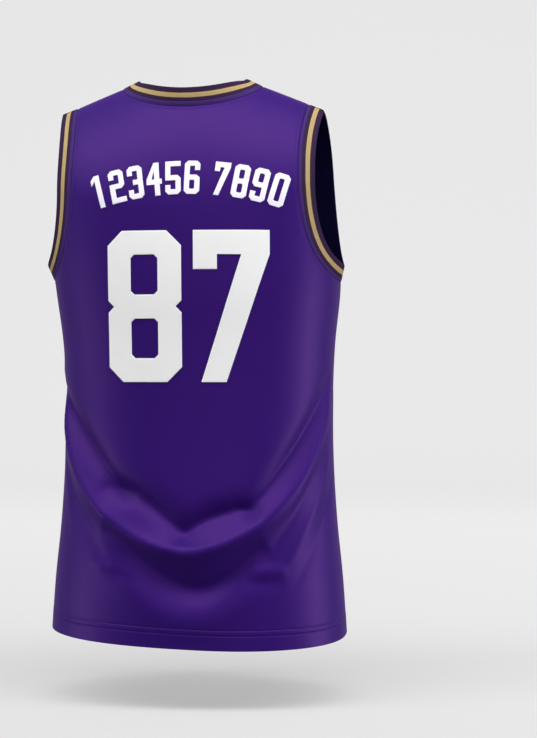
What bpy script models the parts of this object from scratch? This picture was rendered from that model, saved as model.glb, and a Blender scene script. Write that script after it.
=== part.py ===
"""Sleeveless basketball jersey, filled out and hollow, made of cloth walls.

The back faces -Y, the front faces +Y and +X is the wearer's right. The origin is on the line of the
shoulder seams, midway between them, where the wearer's shoulders carry the jersey. Metres, +Z up.
"""

import math
from collections import namedtuple

import bmesh
import bpy
import numpy as np

NAME = "basketball_jersey"
BACK = -1.0
FRONT = 1.0

# Cloth
WALL = 0.0012
BAND_WALL = 0.0018
FIGURE_WALL = 0.0010
SEAM_GAP = 0.0003
BAND_GAP = 0.0004
NORMAL_STEP = 0.0002

# Shoulders and neck
SHOULDER_HEIGHT = -0.016
SHOULDER_SETBACK = 0.025
SHOULDER_SLOPE = math.radians(24.0)
SHOULDER_ROUNDING = 0.05
SHOULDER_HALF_WIDTH = 0.163
NECK_HALF_WIDTH = 0.098
CROWN_DEPTH_CENTRE = 0.20
CROWN_DEPTH_TIP = 0.12
CROWN_POWER = 1.6

# Armholes and hem
PIT_HEIGHT = -0.286
PIT_LEVEL_CENTRE = -0.300
ARMHOLE_NARROW_HEIGHT = -0.130
ARMHOLE_SQUARENESS = 2.8
ROW_BEND = 3.0
HEM_HEIGHT_SIDE = -0.771
HEM_HEIGHT_CENTRE = -0.781
HEM_TILT = 0.005

# Bands
NECKBAND_WIDTH = 0.0252
ARMBAND_WIDTH = 0.0235
NECKBAND_STAND_MIDDLE = math.radians(34.0)
NECKBAND_STAND_POINT = math.radians(-5.0)
NECKBAND_STAND_POWER = 3
ARMBAND_STAND_TIP = math.radians(-2.0)
ARMBAND_STAND_PIT = math.radians(4.0)
BAND_ROWS = 3

# Meshing
TOP_ROW_CROWDING = 1.25
FADE_SHARE = 0.75
NECK_PUSH = 0.12
NECK_PUSH_POWER = 4
CURVE_SAMPLES = 181
ARC_SAMPLES = 16
FOLD_SAMPLES = 32
FOLD_TAPER = 0.7
WELD = 1e-6

# Panels: columns from the centre to the neck point and on to the shoulder tip, and rows down the
# armhole and on down the side seam
Panel = namedtuple(
    "Panel",
    "name facing neck_drop neck_squareness narrow_half_width neck_columns shoulder_columns armhole_rows"
    " side_rows"
)
BACK_PANEL = Panel("back_panel", BACK, 0.034, 1.45, 0.1555, 9, 5, 12, 21)
FRONT_PANEL = Panel("front_panel", FRONT, 0.100, 2.0, 0.173, 9, 4, 12, 9)

# Level rings of the filled-out body, a row for each height. Lean is how far a ring's middle lies to +X.
Ring = namedtuple("Ring", "height half_width back_depth front_depth roundness lean")
RINGS = (
    Ring(0.000, 0.204, 0.122, 0.106, 2.6, -0.005),
    Ring(-0.120, 0.204, 0.130, 0.112, 2.7, -0.006),
    Ring(-0.240, 0.203, 0.132, 0.122, 2.6, -0.004),
    Ring(-0.300, 0.199, 0.130, 0.123, 2.5, -0.001),
    Ring(-0.370, 0.191, 0.125, 0.120, 2.4, 0.0),
    Ring(-0.500, 0.188, 0.122, 0.116, 2.3, 0.0),
    Ring(-0.620, 0.194, 0.129, 0.120, 2.3, 0.0),
    Ring(-0.700, 0.202, 0.135, 0.124, 2.3, 0.0),
    Ring(-0.790, 0.208, 0.138, 0.128, 2.3, 0.0),
)

# Largest folds. Places on their paths are (across, height), where across is measured round the body from
# the middle of the back or the front, to +X. A fold runs from the first place of its path to the last,
# towards +X, and bends by the places between. It stands out by its rise, or in if negative, and dies away
# over its reach above and below.
Fold = namedtuple("Fold", "name middle path rise above below")
FOLDS = (
    Fold("swag", BACK, ((-0.228, -0.415), (-0.115, -0.735), (0.115, -0.716), (0.226, -0.448)),
         0.0090, 0.018, 0.017),
    Fold("left_sag", BACK, ((-0.230, -0.425), (-0.145, -0.515), (-0.080, -0.585)), -0.0070, 0.015, 0.012),
    Fold("left_pocket", BACK, ((-0.124, -0.572), (-0.066, -0.560), (0.022, -0.652)), -0.0095, 0.014, 0.011),
    Fold("right_pocket", BACK, ((-0.014, -0.640), (0.045, -0.586), (0.106, -0.602)), -0.0080, 0.014, 0.011),
    Fold("right_sag", BACK, ((0.078, -0.606), (0.150, -0.530), (0.224, -0.418)), -0.0065, 0.015, 0.012),
    Fold("trough", BACK,
         ((-0.122, -0.606), (-0.060, -0.640), (0.020, -0.787), (0.065, -0.664), (0.114, -0.634)),
         -0.0100, 0.021, 0.017),
    Fold("low_swell", BACK, ((-0.130, -0.640), (0.008, -0.826), (0.115, -0.660)), 0.0042, 0.018, 0.026),
    Fold("left_drag", BACK, ((-0.200, -0.530), (-0.160, -0.604), (-0.104, -0.676)), -0.0030, 0.012, 0.012),
    Fold("right_drag", BACK, ((0.104, -0.668), (0.164, -0.588), (0.216, -0.480)), -0.0030, 0.012, 0.012),
    Fold("front_swag", FRONT, ((-0.225, -0.440), (-0.105, -0.700), (0.110, -0.690), (0.222, -0.430)),
         0.0080, 0.018, 0.018),
    Fold("front_trough", FRONT, ((-0.120, -0.605), (-0.010, -0.750), (0.118, -0.610)), -0.0070, 0.018, 0.018),
)

# Cut-out figures on the back. Chamfer and notch cut the corners and the waist, hook is a stroke's end.
FigureSize = namedtuple("FigureSize", "height width stroke chamfer notch hook")
NUMBER_SIZE = FigureSize(0.2025, 0.101, 0.032, 0.020, 0.008, 0.020)
NUMERAL_SIZE = FigureSize(0.0453, 0.0208, 0.0070, 0.0042, 0.0, 0.006)
FIGURE_MIDDLE = 0.004
NUMBER_FOOT = -0.4255
NUMBER_HALF_SPACE = 0.008
NUMERAL_ORDER = "1234567890"
ARCH_CENTRE_HEIGHT = -0.591
ARCH_RADIUS = 0.416
ARCH_PITCH = math.radians(3.36)
ARCH_GROUP_SPACE = math.radians(1.80)
ARCH_FIRST_GROUP = 6
PRISM_MIDDLE = -0.130
PRISM_HALF_DEPTH = 0.070

Look = namedtuple("Look", "name colour roughness metallic")
PURPLE_CLOTH = Look("purple_cloth", (0.050, 0.015, 0.165), 0.62, 0.0)
STRIPED_RIB = Look("striped_rib", (0.045, 0.018, 0.070), 0.70, 0.0)
WHITE_TWILL = Look("white_twill", (0.80, 0.80, 0.82), 0.60, 0.0)


def smooth_column(rows, column, height):
    """Value of one column of a table at a height, on a smooth curve through the rows."""
    heights = np.array([row.height for row in rows])
    values = np.array([getattr(row, column) for row in rows])
    slopes = np.gradient(values, heights)
    height = np.clip(height, heights[-1], heights[0])
    k = np.clip(np.searchsorted(-heights, -height) - 1, 0, len(rows) - 2)
    span = heights[k + 1] - heights[k]
    t = (height - heights[k]) / span
    return (
        (1 + 2 * t) * (1 - t) ** 2 * values[k]
        + t * (1 - t) ** 2 * span * slopes[k]
        + t ** 2 * (3 - 2 * t) * values[k + 1]
        + t ** 2 * (t - 1) * span * slopes[k + 1]
    )


def ring_point(facing, turn, height):
    """Half-ring point (x, depth) at an angle from the panel's centre, on the body's level ring."""
    half_width = smooth_column(RINGS, "half_width", height)
    depth = smooth_column(RINGS, "back_depth" if facing == BACK else "front_depth", height)
    power = smooth_column(RINGS, "roundness", height)
    across = np.abs(np.sin(turn)) / half_width
    along = np.abs(np.cos(turn)) / depth
    radius = (across ** power + along ** power) ** (-1.0 / power)
    return radius * np.sin(turn), radius * np.cos(turn)


def turn_for_width(facing, x, height):
    """Angle from the panel's centre at which the ring at a height is x from the middle plane."""
    half_width = smooth_column(RINGS, "half_width", height)
    depth = smooth_column(RINGS, "back_depth" if facing == BACK else "front_depth", height)
    power = smooth_column(RINGS, "roundness", height)
    share = np.clip(np.abs(x) / half_width, 0.0, 1.0)
    y = depth * (1.0 - share ** power) ** (1.0 / power)
    return np.sign(x) * np.arctan2(np.abs(x), y)


def shoulder_line(x):
    """Height of the shoulder line at x, carried on smoothly over the neck opening."""
    reach = np.sqrt(np.square(x) + SHOULDER_ROUNDING ** 2)
    neck_reach = math.hypot(NECK_HALF_WIDTH, SHOULDER_ROUNDING)
    return SHOULDER_HEIGHT - math.tan(SHOULDER_SLOPE) * (reach - neck_reach)


def crown(x, height):
    """Share of the ring's depth that the body has reached below the shoulder line."""
    outward = np.clip(np.abs(x) / SHOULDER_HALF_WIDTH, 0.0, 1.0)
    span = CROWN_DEPTH_CENTRE + (CROWN_DEPTH_TIP - CROWN_DEPTH_CENTRE) * outward ** 2
    share = np.clip((shoulder_line(x) - height) / span, 0.0, 1.0)
    return (1.0 - (1.0 - share) ** CROWN_POWER) ** (1.0 / CROWN_POWER)


def bare_point(facing, turn, height):
    """Point of the body's surface before any fold."""
    x, depth = ring_point(facing, turn, height)
    reached = crown(x, height)
    y = facing * depth * reached - SHOULDER_SETBACK * (1.0 - reached)
    return np.stack([x + smooth_column(RINGS, "lean", height), y, height * np.ones_like(x)], axis=-1)


def ring_length(facing, turn, height):
    """Length round the body's ring from the panel's centre to an angle."""
    total = np.zeros_like(turn * height)
    last_x, last_depth = ring_point(facing, np.zeros_like(turn), height)
    for step in range(1, ARC_SAMPLES + 1):
        x, depth = ring_point(facing, turn * step / ARC_SAMPLES, height)
        total = total + np.hypot(x - last_x, depth - last_depth)
        last_x, last_depth = x, depth
    return total


def across_body(middle, facing, turn, height):
    """Distance round the body from the middle of the back or the front, positive towards +X."""
    length = ring_length(facing, turn, height)
    if facing != middle:
        quarter = np.full_like(turn, math.pi / 2)
        half_girth = ring_length(BACK, quarter, height) + ring_length(FRONT, quarter, height)
        length = half_girth - length
    return np.where(turn < 0.0, -length, length)


def smooth_path(places):
    """Places on the curve that starts at the first place, ends at the last and bends by the rest."""
    t = np.linspace(0.0, 1.0, FOLD_SAMPLES + 1)[:, None]
    points = [np.broadcast_to(np.array(place), (len(t), 2)) for place in places]
    while len(points) > 1:
        points = [(1.0 - t) * low + t * high for low, high in zip(points[:-1], points[1:])]
    return points[0]


def fold_rise(fold, across, height):
    """How far one fold moves the cloth out, for arrays of places on the cloth."""
    path = smooth_path(fold.path)
    run = np.diff(path, axis=0)
    offset = np.stack([across, height], axis=-1)[..., None, :] - path[:-1]
    share = np.clip(np.sum(offset * run, axis=-1) / np.sum(run * run, axis=-1), 0.0, 1.0)
    distance = np.linalg.norm(offset - share[..., None] * run, axis=-1)
    upward = run[:, 0] * offset[..., 1] - run[:, 1] * offset[..., 0]
    nearest = np.argmin(distance, axis=-1)[..., None]
    gap = np.take_along_axis(distance, nearest, axis=-1)[..., 0]
    along = np.take_along_axis(share, nearest, axis=-1)[..., 0] + nearest[..., 0]
    upper = np.take_along_axis(upward, nearest, axis=-1)[..., 0] > 0.0
    reach = np.where(upper, fold.above, fold.below)
    taper = np.sin(math.pi * along / FOLD_SAMPLES) ** FOLD_TAPER
    return fold.rise * taper * np.exp(-np.square(gap / reach))


def fold_lift(facing, turn, height):
    """How far all the folds together move the cloth out."""
    lift = np.zeros_like(turn)
    for middle in (BACK, FRONT):
        across = across_body(middle, facing, turn, height)
        for fold in (row for row in FOLDS if row.middle == middle):
            lift = lift + fold_rise(fold, across, height)
    return lift


def level_normals(facing, turn, height):
    """Level unit directions out of the body's rings."""
    step = NORMAL_STEP
    x_low, depth_low = ring_point(facing, turn - step, height)
    x_high, depth_high = ring_point(facing, turn + step, height)
    out = np.stack([depth_low - depth_high, facing * (x_high - x_low), np.zeros_like(x_low)], axis=-1)
    return unit(out)


def edge_curve(panel):
    """Right side edge of a panel, from the shoulder tip down the armhole, as angles and heights."""
    tip_height = float(shoulder_line(SHOULDER_HALF_WIDTH))
    tip_turn = float(turn_for_width(panel.facing, SHOULDER_HALF_WIDTH, tip_height))
    narrow_turn = float(turn_for_width(panel.facing, panel.narrow_half_width, ARMHOLE_NARROW_HEIGHT))
    share = np.linspace(0.0, 1.0, CURVE_SAMPLES)
    upper_height = tip_height + (ARMHOLE_NARROW_HEIGHT - tip_height) * share
    upper_turn = narrow_turn + (tip_turn - narrow_turn) * (1.0 - share) ** 2
    fall = np.sin(share * math.pi / 2) ** (2.0 / ARMHOLE_SQUARENESS)
    out = 1.0 - np.cos(share * math.pi / 2) ** (2.0 / ARMHOLE_SQUARENESS)
    lower_height = ARMHOLE_NARROW_HEIGHT + (PIT_HEIGHT - ARMHOLE_NARROW_HEIGHT) * fall
    lower_turn = narrow_turn + (math.pi / 2 - narrow_turn) * out
    return np.append(upper_turn, lower_turn[1:]), np.append(upper_height, lower_height[1:])


def armhole_edge(panel, fractions):
    """Angles and heights at fractions of the armhole's length, from the shoulder tip to the pit."""
    turns, heights = edge_curve(panel)
    steps = np.linalg.norm(np.diff(bare_point(panel.facing, turns, heights), axis=0), axis=1)
    lengths = np.append(0.0, np.cumsum(steps))
    wanted = np.asarray(fractions) * lengths[-1]
    return np.interp(wanted, lengths, turns), np.interp(wanted, lengths, heights)


def neckline_height(panel, x):
    """Height of a panel's neckline at x."""
    share = np.clip(np.abs(x) / NECK_HALF_WIDTH, 0.0, 1.0)
    return SHOULDER_HEIGHT - panel.neck_drop * (1.0 - share ** 2) ** (1.0 / panel.neck_squareness)


def top_shares(panel):
    """Columns of a panel's top edge as shares of its half width, evenly spaced along the neckline."""
    tip_height = float(shoulder_line(SHOULDER_HALF_WIDTH))
    tip_turn = float(turn_for_width(panel.facing, SHOULDER_HALF_WIDTH, tip_height))
    x = NECK_HALF_WIDTH * np.sin(np.linspace(0.0, math.pi / 2, CURVE_SAMPLES))
    height = neckline_height(panel, x)
    turn = turn_for_width(panel.facing, x, height)
    steps = np.linalg.norm(np.diff(bare_point(panel.facing, turn, height), axis=0), axis=1)
    lengths = np.append(0.0, np.cumsum(steps))
    inner_x = np.interp(np.linspace(0.0, lengths[-1], panel.neck_columns + 1), lengths, x)
    inner = turn_for_width(panel.facing, inner_x, SHOULDER_HEIGHT) / tip_turn
    outer = np.linspace(inner[-1], 1.0, panel.shoulder_columns + 1)
    half = np.append(inner, outer[1:])
    return np.append(-half[:0:-1], half)


def panel_grid(panel):
    """Angle and height of every mesh point of a panel, in rows from the shoulders to the hem."""
    rows = np.linspace(0.0, 1.0, panel.armhole_rows + 1) ** TOP_ROW_CROWDING
    below = np.linspace(0.0, 1.0, panel.side_rows + 1)[1:]
    edge_turn, edge_height = armhole_edge(panel, rows)
    edge_turn = np.append(edge_turn, np.full(panel.side_rows, math.pi / 2))
    edge_height = np.append(edge_height, PIT_HEIGHT + (HEM_HEIGHT_SIDE - PIT_HEIGHT) * below)
    neck_height = SHOULDER_HEIGHT - panel.neck_drop
    centre_height = neck_height + (PIT_LEVEL_CENTRE - neck_height) * rows
    hem_drop = HEM_HEIGHT_CENTRE - PIT_LEVEL_CENTRE
    centre_height = np.append(centre_height, PIT_LEVEL_CENTRE + hem_drop * below)
    fade_rows = FADE_SHARE * panel.armhole_rows
    fade = np.clip(1.0 - np.arange(len(edge_turn)) / fade_rows, 0.0, 1.0)[:, None] ** 2
    columns = columns_from_centre(panel)
    even = columns / columns[-1]
    top = top_shares(panel)
    neck = top[columns == panel.neck_columns]
    near_neck = np.minimum((np.abs(top) / neck) ** NECK_PUSH_POWER, (1.0 - np.abs(top)) / (1.0 - neck))
    swell = np.sin(np.clip(np.arange(len(edge_turn)) / fade_rows, 0.0, 1.0) * math.pi)[:, None]
    shares = even + (top - even) * fade + NECK_PUSH * swell * near_neck * np.sign(top)
    turn = edge_turn[:, None] * shares
    height = centre_height[:, None] + (edge_height - centre_height)[:, None] * np.abs(shares) ** ROW_BEND
    x = ring_point(panel.facing, turn[0], np.full_like(turn[0], SHOULDER_HEIGHT))[0]
    top_height = np.where(np.abs(columns) < panel.neck_columns, neckline_height(panel, x), shoulder_line(x))
    height = height + fade * (top_height - height[0])
    hem_share = np.append(np.zeros(panel.armhole_rows + 1), below)
    return turn, height - HEM_TILT * hem_share[:, None] * np.sin(turn)


def columns_from_centre(panel):
    """Column numbers of a panel, counted from its centre."""
    half = panel.neck_columns + panel.shoulder_columns
    return np.arange(-half, half + 1)


def unit(vectors):
    """Vectors of a grid at length one."""
    return vectors / np.linalg.norm(vectors, axis=-1, keepdims=True)


def cloth_point(facing, turn, height):
    """Point of the cloth's middle surface, with its folds."""
    lift = fold_lift(facing, turn, height)[..., None]
    return bare_point(facing, turn, height) + level_normals(facing, turn, height) * lift


def cloth_normals(facing, turn, height):
    """Vectors square to the cloth, pointing out of the body. They have no length on the shoulder line."""
    step = NORMAL_STEP
    across = cloth_point(facing, turn + step, height) - cloth_point(facing, turn - step, height)
    down = cloth_point(facing, turn, height - step) - cloth_point(facing, turn, height + step)
    return np.cross(across, down) * facing


def shoulder_normals(x):
    """Vectors square to the shoulder line, in the plane of the shoulder seam."""
    fall = (shoulder_line(x - NORMAL_STEP) - shoulder_line(x + NORMAL_STEP)) / (2.0 * NORMAL_STEP)
    return np.stack([fall, np.zeros_like(x), np.ones_like(x)], axis=-1)


def panel_surface(panel):
    """Points and outward normals of a panel, half a seam gap clear of the other panel."""
    turn, height = panel_grid(panel)
    points = cloth_point(panel.facing, turn, height)
    normals = cloth_normals(panel.facing, turn, height)
    on_shoulder = np.abs(columns_from_centre(panel)) >= panel.neck_columns
    x = ring_point(panel.facing, turn[0], height[0])[0]
    normals[0, on_shoulder] = shoulder_normals(x[on_shoulder])
    normals[panel.armhole_rows:, 0, 1] = 0.0
    normals[panel.armhole_rows:, -1, 1] = 0.0
    points[..., 1] += panel.facing * SEAM_GAP / 2
    return points, unit(normals)


def into_opening(edge_points, normals):
    """Unit directions that carry a closed edge on along its cloth, into the opening that it rims."""
    run = np.roll(edge_points, -1, axis=0) - np.roll(edge_points, 1, axis=0)
    inward = unit(np.cross(normals, run))
    to_middle = np.mean(edge_points, axis=0) - edge_points
    return inward * np.sign(np.sum(inward * to_middle))


def band_surface(edge_points, edge_normals, width, stand):
    """Points and normals of a band that carries a closed edge on into its opening.

    Its first row lies a seam gap from the edge and square to it. The rest stands out a little.
    """
    smooth = edge_normals
    for _ in range(2):
        smooth = unit(np.roll(smooth, 1, axis=0) + 2 * smooth + np.roll(smooth, -1, axis=0))
    inward = into_opening(edge_points, smooth)
    rising = inward * np.cos(stand) + smooth * np.sin(stand)
    facing_out = smooth * np.cos(stand) - inward * np.sin(stand)
    foot = edge_points + into_opening(edge_points, edge_normals) * BAND_GAP
    reach = np.linspace(0.0, width, BAND_ROWS)[1:, None, None]
    points = np.concatenate([foot[None], edge_points + rising * reach])
    normals = np.concatenate([unit(edge_normals)[None], np.broadcast_to(facing_out, points[1:].shape)])
    return points, normals


def joined_edge(back_part, front_part):
    """Closed loop of a back edge and a front edge that meet at both ends."""
    first = (back_part[0] + front_part[-1]) / 2
    turn = (back_part[-1] + front_part[0]) / 2
    return np.vstack([first, back_part[1:-1], turn, front_part[1:-1]])


def material(name, look):
    """Principled material of a look."""
    made = bpy.data.materials.new(name)
    made.use_nodes = True
    shader = made.node_tree.nodes["Principled BSDF"]
    shader.inputs["Base Color"].default_value = (*look.colour, 1.0)
    shader.inputs["Roughness"].default_value = look.roughness
    shader.inputs["Metallic"].default_value = look.metallic
    return made


def add_object(name, data, look, collection):
    """Object of a mesh in a collection, with a material of its own."""
    data.materials.append(material(f"{name}_{look.name}", look))
    made = bpy.data.objects.new(name, data)
    collection.objects.link(made)
    return made


def wall_mesh(name, points, normals, inner, outer, closed=False):
    """Closed wall between two lifts of a grid. A closed grid joins its last column to its first."""
    rows, columns = points.shape[:2]
    spans = columns if closed else columns - 1
    outside = (points + normals * outer).reshape(-1, 3)
    inside = (points + normals * inner).reshape(-1, 3)
    mesh = bmesh.new()
    place = mesh.verts.layers.int.new("place")
    bmesh.ops.create_grid(mesh, x_segments=spans, y_segments=rows - 1, size=1.0)
    reach = max(vert.co.x for vert in mesh.verts)
    for vert in mesh.verts:
        column = round((vert.co.x / reach + 1.0) / 2.0 * spans) % columns
        row = round((1.0 - vert.co.y / reach) / 2.0 * (rows - 1))
        vert[place] = row * columns + column
        vert.co = outside[vert[place]]
    bmesh.ops.remove_doubles(mesh, verts=list(mesh.verts), dist=WELD)
    bmesh.ops.triangulate(mesh, faces=list(mesh.faces), quad_method="FIXED")
    grown = bmesh.ops.extrude_face_region(mesh, geom=list(mesh.faces), use_keep_orig=True)
    for vert in (item for item in grown["geom"] if isinstance(item, bmesh.types.BMVert)):
        vert.co = inside[vert[place]]
    bmesh.ops.recalc_face_normals(mesh, faces=list(mesh.faces))
    data = bpy.data.meshes.new(name)
    mesh.to_mesh(data)
    mesh.free()
    return data


def add_neckband(back, front, collection):
    """Rib band round the neck."""
    back_half, front_half = BACK_PANEL.neck_columns, FRONT_PANEL.neck_columns
    back_middle, front_middle = back[0].shape[1] // 2, front[0].shape[1] // 2
    back_row = slice(back_middle - back_half, back_middle + back_half + 1)
    front_row = slice(front_middle - front_half, front_middle + front_half + 1)
    loops = [joined_edge(b[0, back_row], f[0, front_row][::-1]) for b, f in zip(back, front)]
    x = loops[0][:, :1]
    outward = np.clip(np.abs(x - (x.max() + x.min()) / 2) / NECK_HALF_WIDTH, 0.0, 1.0)
    stand = (
        NECKBAND_STAND_MIDDLE
        + (NECKBAND_STAND_POINT - NECKBAND_STAND_MIDDLE) * outward ** NECKBAND_STAND_POWER
    )
    points, normals = band_surface(*loops, NECKBAND_WIDTH, stand)
    data = wall_mesh("neckband", points, normals, -BAND_WALL / 2, BAND_WALL / 2, closed=True)
    add_object("neckband", data, STRIPED_RIB, collection)


def add_armband(name, side, back, front, collection):
    """Rib band round one armhole. Side is 0 for the first column, on -X, or -1 for the last."""
    back_rows, front_rows = BACK_PANEL.armhole_rows, FRONT_PANEL.armhole_rows
    loops = [
        joined_edge(b[:back_rows + 1, side], f[:front_rows + 1, side][::-1]) for b, f in zip(back, front)
    ]
    height = loops[0][:, 2:]
    fall = (height.max() - height) / (height.max() - height.min())
    stand = ARMBAND_STAND_TIP + (ARMBAND_STAND_PIT - ARMBAND_STAND_TIP) * fall
    points, normals = band_surface(*loops, ARMBAND_WIDTH, stand)
    data = wall_mesh(name, points, normals, -BAND_WALL / 2, BAND_WALL / 2, closed=True)
    add_object(name, data, STRIPED_RIB, collection)


def figure_loops(figure, size):
    """Closed outlines of a block figure, its outside first and then its counters."""
    w, h, s, c, n, k = size.width, size.height, size.stroke, size.chamfer, size.notch, size.hook
    mid, low, high = h / 2, (h - s) / 2, (h + s) / 2
    foot = [(0, c), (c, 0), (w - c, 0), (w, c)]
    head = [(w, h - c), (w - c, h), (c, h), (0, h - c)]
    lower_counter = [(s, s), (w - s, s), (w - s, low), (s, low)]
    upper_counter = [(s, high), (w - s, high), (w - s, h - s), (s, h - s)]
    stem, flag, arm = (w - s) / 2, 0.8 * s, w - 1.45 * s
    shapes = {
        "0": [foot + head, lower_counter[:2] + upper_counter[2:]],
        "1": [[(stem, 0), (stem + s, 0), (stem + s, h), (stem, h), (stem - flag, h - flag),
               (stem - flag, h - flag - s), (stem, h - s)]],
        "3": [foot + [(w, mid)] + head + [(0, h - s - k), (s, h - s - k), (s, h - s), (w - s, h - s),
              (w - s, high), (s, high), (s, low), (w - s, low), (w - s, s), (s, s), (s, s + k), (0, s + k)]],
        "4": [[(arm, 0), (arm + s, 0), (arm + s, low - s / 2), (w, low - s / 2), (w, low + s / 2),
               (arm + s, low + s / 2), (arm + s, h), (arm, h), (0, low + s / 2), (0, low - s / 2),
               (arm, low - s / 2)], [(s, low + s / 2), (arm, low + s / 2), (arm, h - 1.6 * s)]],
        "5": [foot + [(w, high - c), (w - c, high), (s, high), (s, h - s), (w, h - s), (w, h), (0, h),
              (0, low), (w - s, low), (w - s, s), (s, s), (s, s + k), (0, s + k)]],
        "6": [foot + [(w, high - c), (w - c, high), (s, high), (s, h - s), (w - s, h - s),
              (w - s, h - s - k), (w, h - s - k)] + head, lower_counter],
        "7": [[(0, h), (w, h), (w, h - s), (0.43 * w, 0), (0.10 * w, 0), (w - 1.15 * s, h - s),
               (s, h - s), (s, h - s - k), (0, h - s - k)]],
        "8": [foot + [(w, mid - n), (w - n, mid), (w, mid + n)] + head
              + [(0, mid + n), (n, mid), (0, mid - n)], lower_counter, upper_counter],
    }
    if figure == "2":
        return [[(x, h - y) for x, y in loop] for loop in shapes["5"]]
    if figure == "9":
        return [[(w - x, h - y) for x, y in loop] for loop in shapes["6"]]
    return shapes[figure]


def figure_prism(loops, left, foot, tilt):
    """Solid of a figure's outlines that runs through the back. Left and foot place its lower left corner."""
    outline = bpy.data.curves.new("figure_prism", "CURVE")
    outline.dimensions = "2D"
    outline.fill_mode = "BOTH"
    outline.extrude = PRISM_HALF_DEPTH
    for loop in loops:
        spline = outline.splines.new("POLY")
        spline.points.add(len(loop) - 1)
        for point, (x, z) in zip(spline.points, loop):
            across = left + x * math.cos(tilt) + z * math.sin(tilt)
            point.co = (across, foot + z * math.cos(tilt) - x * math.sin(tilt), 0.0, 1.0)
        spline.use_cyclic_u = True
    curve = bpy.data.objects.new("figure_prism", outline)
    curve.rotation_euler = (math.pi / 2, 0.0, 0.0)
    curve.location = (0.0, PRISM_MIDDLE, 0.0)
    bpy.context.scene.collection.objects.link(curve)
    bpy.context.view_layer.update()
    data = bpy.data.meshes.new_from_object(curve)
    data.transform(curve.matrix_world)
    bpy.data.objects.remove(curve, do_unlink=True)
    mesh = bmesh.new()
    mesh.from_mesh(data)
    bmesh.ops.remove_doubles(mesh, verts=list(mesh.verts), dist=WELD)
    bmesh.ops.recalc_face_normals(mesh, faces=list(mesh.faces))
    mesh.to_mesh(data)
    mesh.free()
    return data


def add_figure(name, loops, left, foot, tilt, sheet, collections):
    """Cut-out figure that lies on the back: what a thin sheet over the back shares with its prism."""
    jersey, cutters = collections
    cutter = bpy.data.objects.new(f"{name}_cutter", figure_prism(loops, left, foot, tilt))
    cutter.hide_render = True
    cutter.display_type = "WIRE"
    cutters.objects.link(cutter)
    made = add_object(name, sheet.copy(), WHITE_TWILL, jersey)
    cut = made.modifiers.new("cut", "BOOLEAN")
    cut.operation = "INTERSECT"
    cut.solver = "EXACT"
    cut.object = cutter


def add_figures(back, collections):
    """Number in two big figures, and ten small numerals in an arch above it."""
    inner = WALL / 2 + SEAM_GAP
    sheet = wall_mesh("figure_sheet", *back, inner, inner + FIGURE_WALL)
    number_left = FIGURE_MIDDLE - NUMBER_HALF_SPACE - NUMBER_SIZE.width
    number_right = FIGURE_MIDDLE + NUMBER_HALF_SPACE
    for name, figure, left in (("number_left", "8", number_left), ("number_right", "7", number_right)):
        add_figure(name, figure_loops(figure, NUMBER_SIZE), left, NUMBER_FOOT, 0.0, sheet, collections)
    last = len(NUMERAL_ORDER) - 1
    for place, figure in enumerate(NUMERAL_ORDER):
        group = 0.5 if place >= ARCH_FIRST_GROUP else -0.5
        tilt = (place - last / 2) * ARCH_PITCH + group * ARCH_GROUP_SPACE
        half = NUMERAL_SIZE.width / 2
        left = FIGURE_MIDDLE + ARCH_RADIUS * math.sin(tilt) - half * math.cos(tilt)
        foot = ARCH_CENTRE_HEIGHT + ARCH_RADIUS * math.cos(tilt) + half * math.sin(tilt)
        loops = figure_loops(figure, NUMERAL_SIZE)
        add_figure(f"small_numeral_{place + 1:02d}", loops, left, foot, tilt, sheet, collections)
    bpy.data.meshes.remove(sheet)


def main():
    """Build the jersey."""
    for old in list(bpy.data.objects):
        bpy.data.objects.remove(old, do_unlink=True)
    jersey = bpy.data.collections.new(NAME)
    bpy.context.scene.collection.children.link(jersey)
    surfaces = {}
    for panel in (BACK_PANEL, FRONT_PANEL):
        surfaces[panel.name] = panel_surface(panel)
        data = wall_mesh(panel.name, *surfaces[panel.name], -WALL / 2, WALL / 2)
        add_object(panel.name, data, PURPLE_CLOTH, jersey)
    back, front = surfaces[BACK_PANEL.name], surfaces[FRONT_PANEL.name]
    add_neckband(back, front, jersey)
    add_armband("armband_right", -1, back, front, jersey)
    add_armband("armband_left", 0, back, front, jersey)
    cutters = bpy.data.collections.new("figure_cutters")
    bpy.context.scene.collection.children.link(cutters)
    add_figures(back, (jersey, cutters))


main()
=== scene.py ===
"""Looks of a sleeveless basketball jersey, filled out and hollow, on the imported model's frame.

The back faces -Y, the front faces +Y and +X is the wearer's right. The origin is on the line of the
shoulder seams, midway between them. Metres, +Z up.
"""

import logging
import math
from dataclasses import dataclass, field
from enum import Enum
from typing import Any, Iterable, Sequence

import bmesh
import bpy
import numpy as np
from mathutils import Matrix, Vector

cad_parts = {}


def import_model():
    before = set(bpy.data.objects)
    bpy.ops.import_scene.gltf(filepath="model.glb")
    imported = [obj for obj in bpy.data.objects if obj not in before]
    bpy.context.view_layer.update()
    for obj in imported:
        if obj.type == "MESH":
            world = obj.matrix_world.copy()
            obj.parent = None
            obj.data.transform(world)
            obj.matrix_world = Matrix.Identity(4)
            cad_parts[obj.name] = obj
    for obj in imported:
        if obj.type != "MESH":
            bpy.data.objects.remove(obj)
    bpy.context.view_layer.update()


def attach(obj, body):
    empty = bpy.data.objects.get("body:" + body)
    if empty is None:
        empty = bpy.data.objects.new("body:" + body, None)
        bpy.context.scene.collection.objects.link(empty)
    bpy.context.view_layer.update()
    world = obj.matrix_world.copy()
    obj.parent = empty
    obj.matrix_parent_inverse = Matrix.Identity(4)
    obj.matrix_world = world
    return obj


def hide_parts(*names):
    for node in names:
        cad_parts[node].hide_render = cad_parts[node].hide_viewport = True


LOG = logging.getLogger("jersey")
Grid = np.ndarray
Loop = list[tuple[float, float]]
Colour = tuple[float, float, float]
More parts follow.
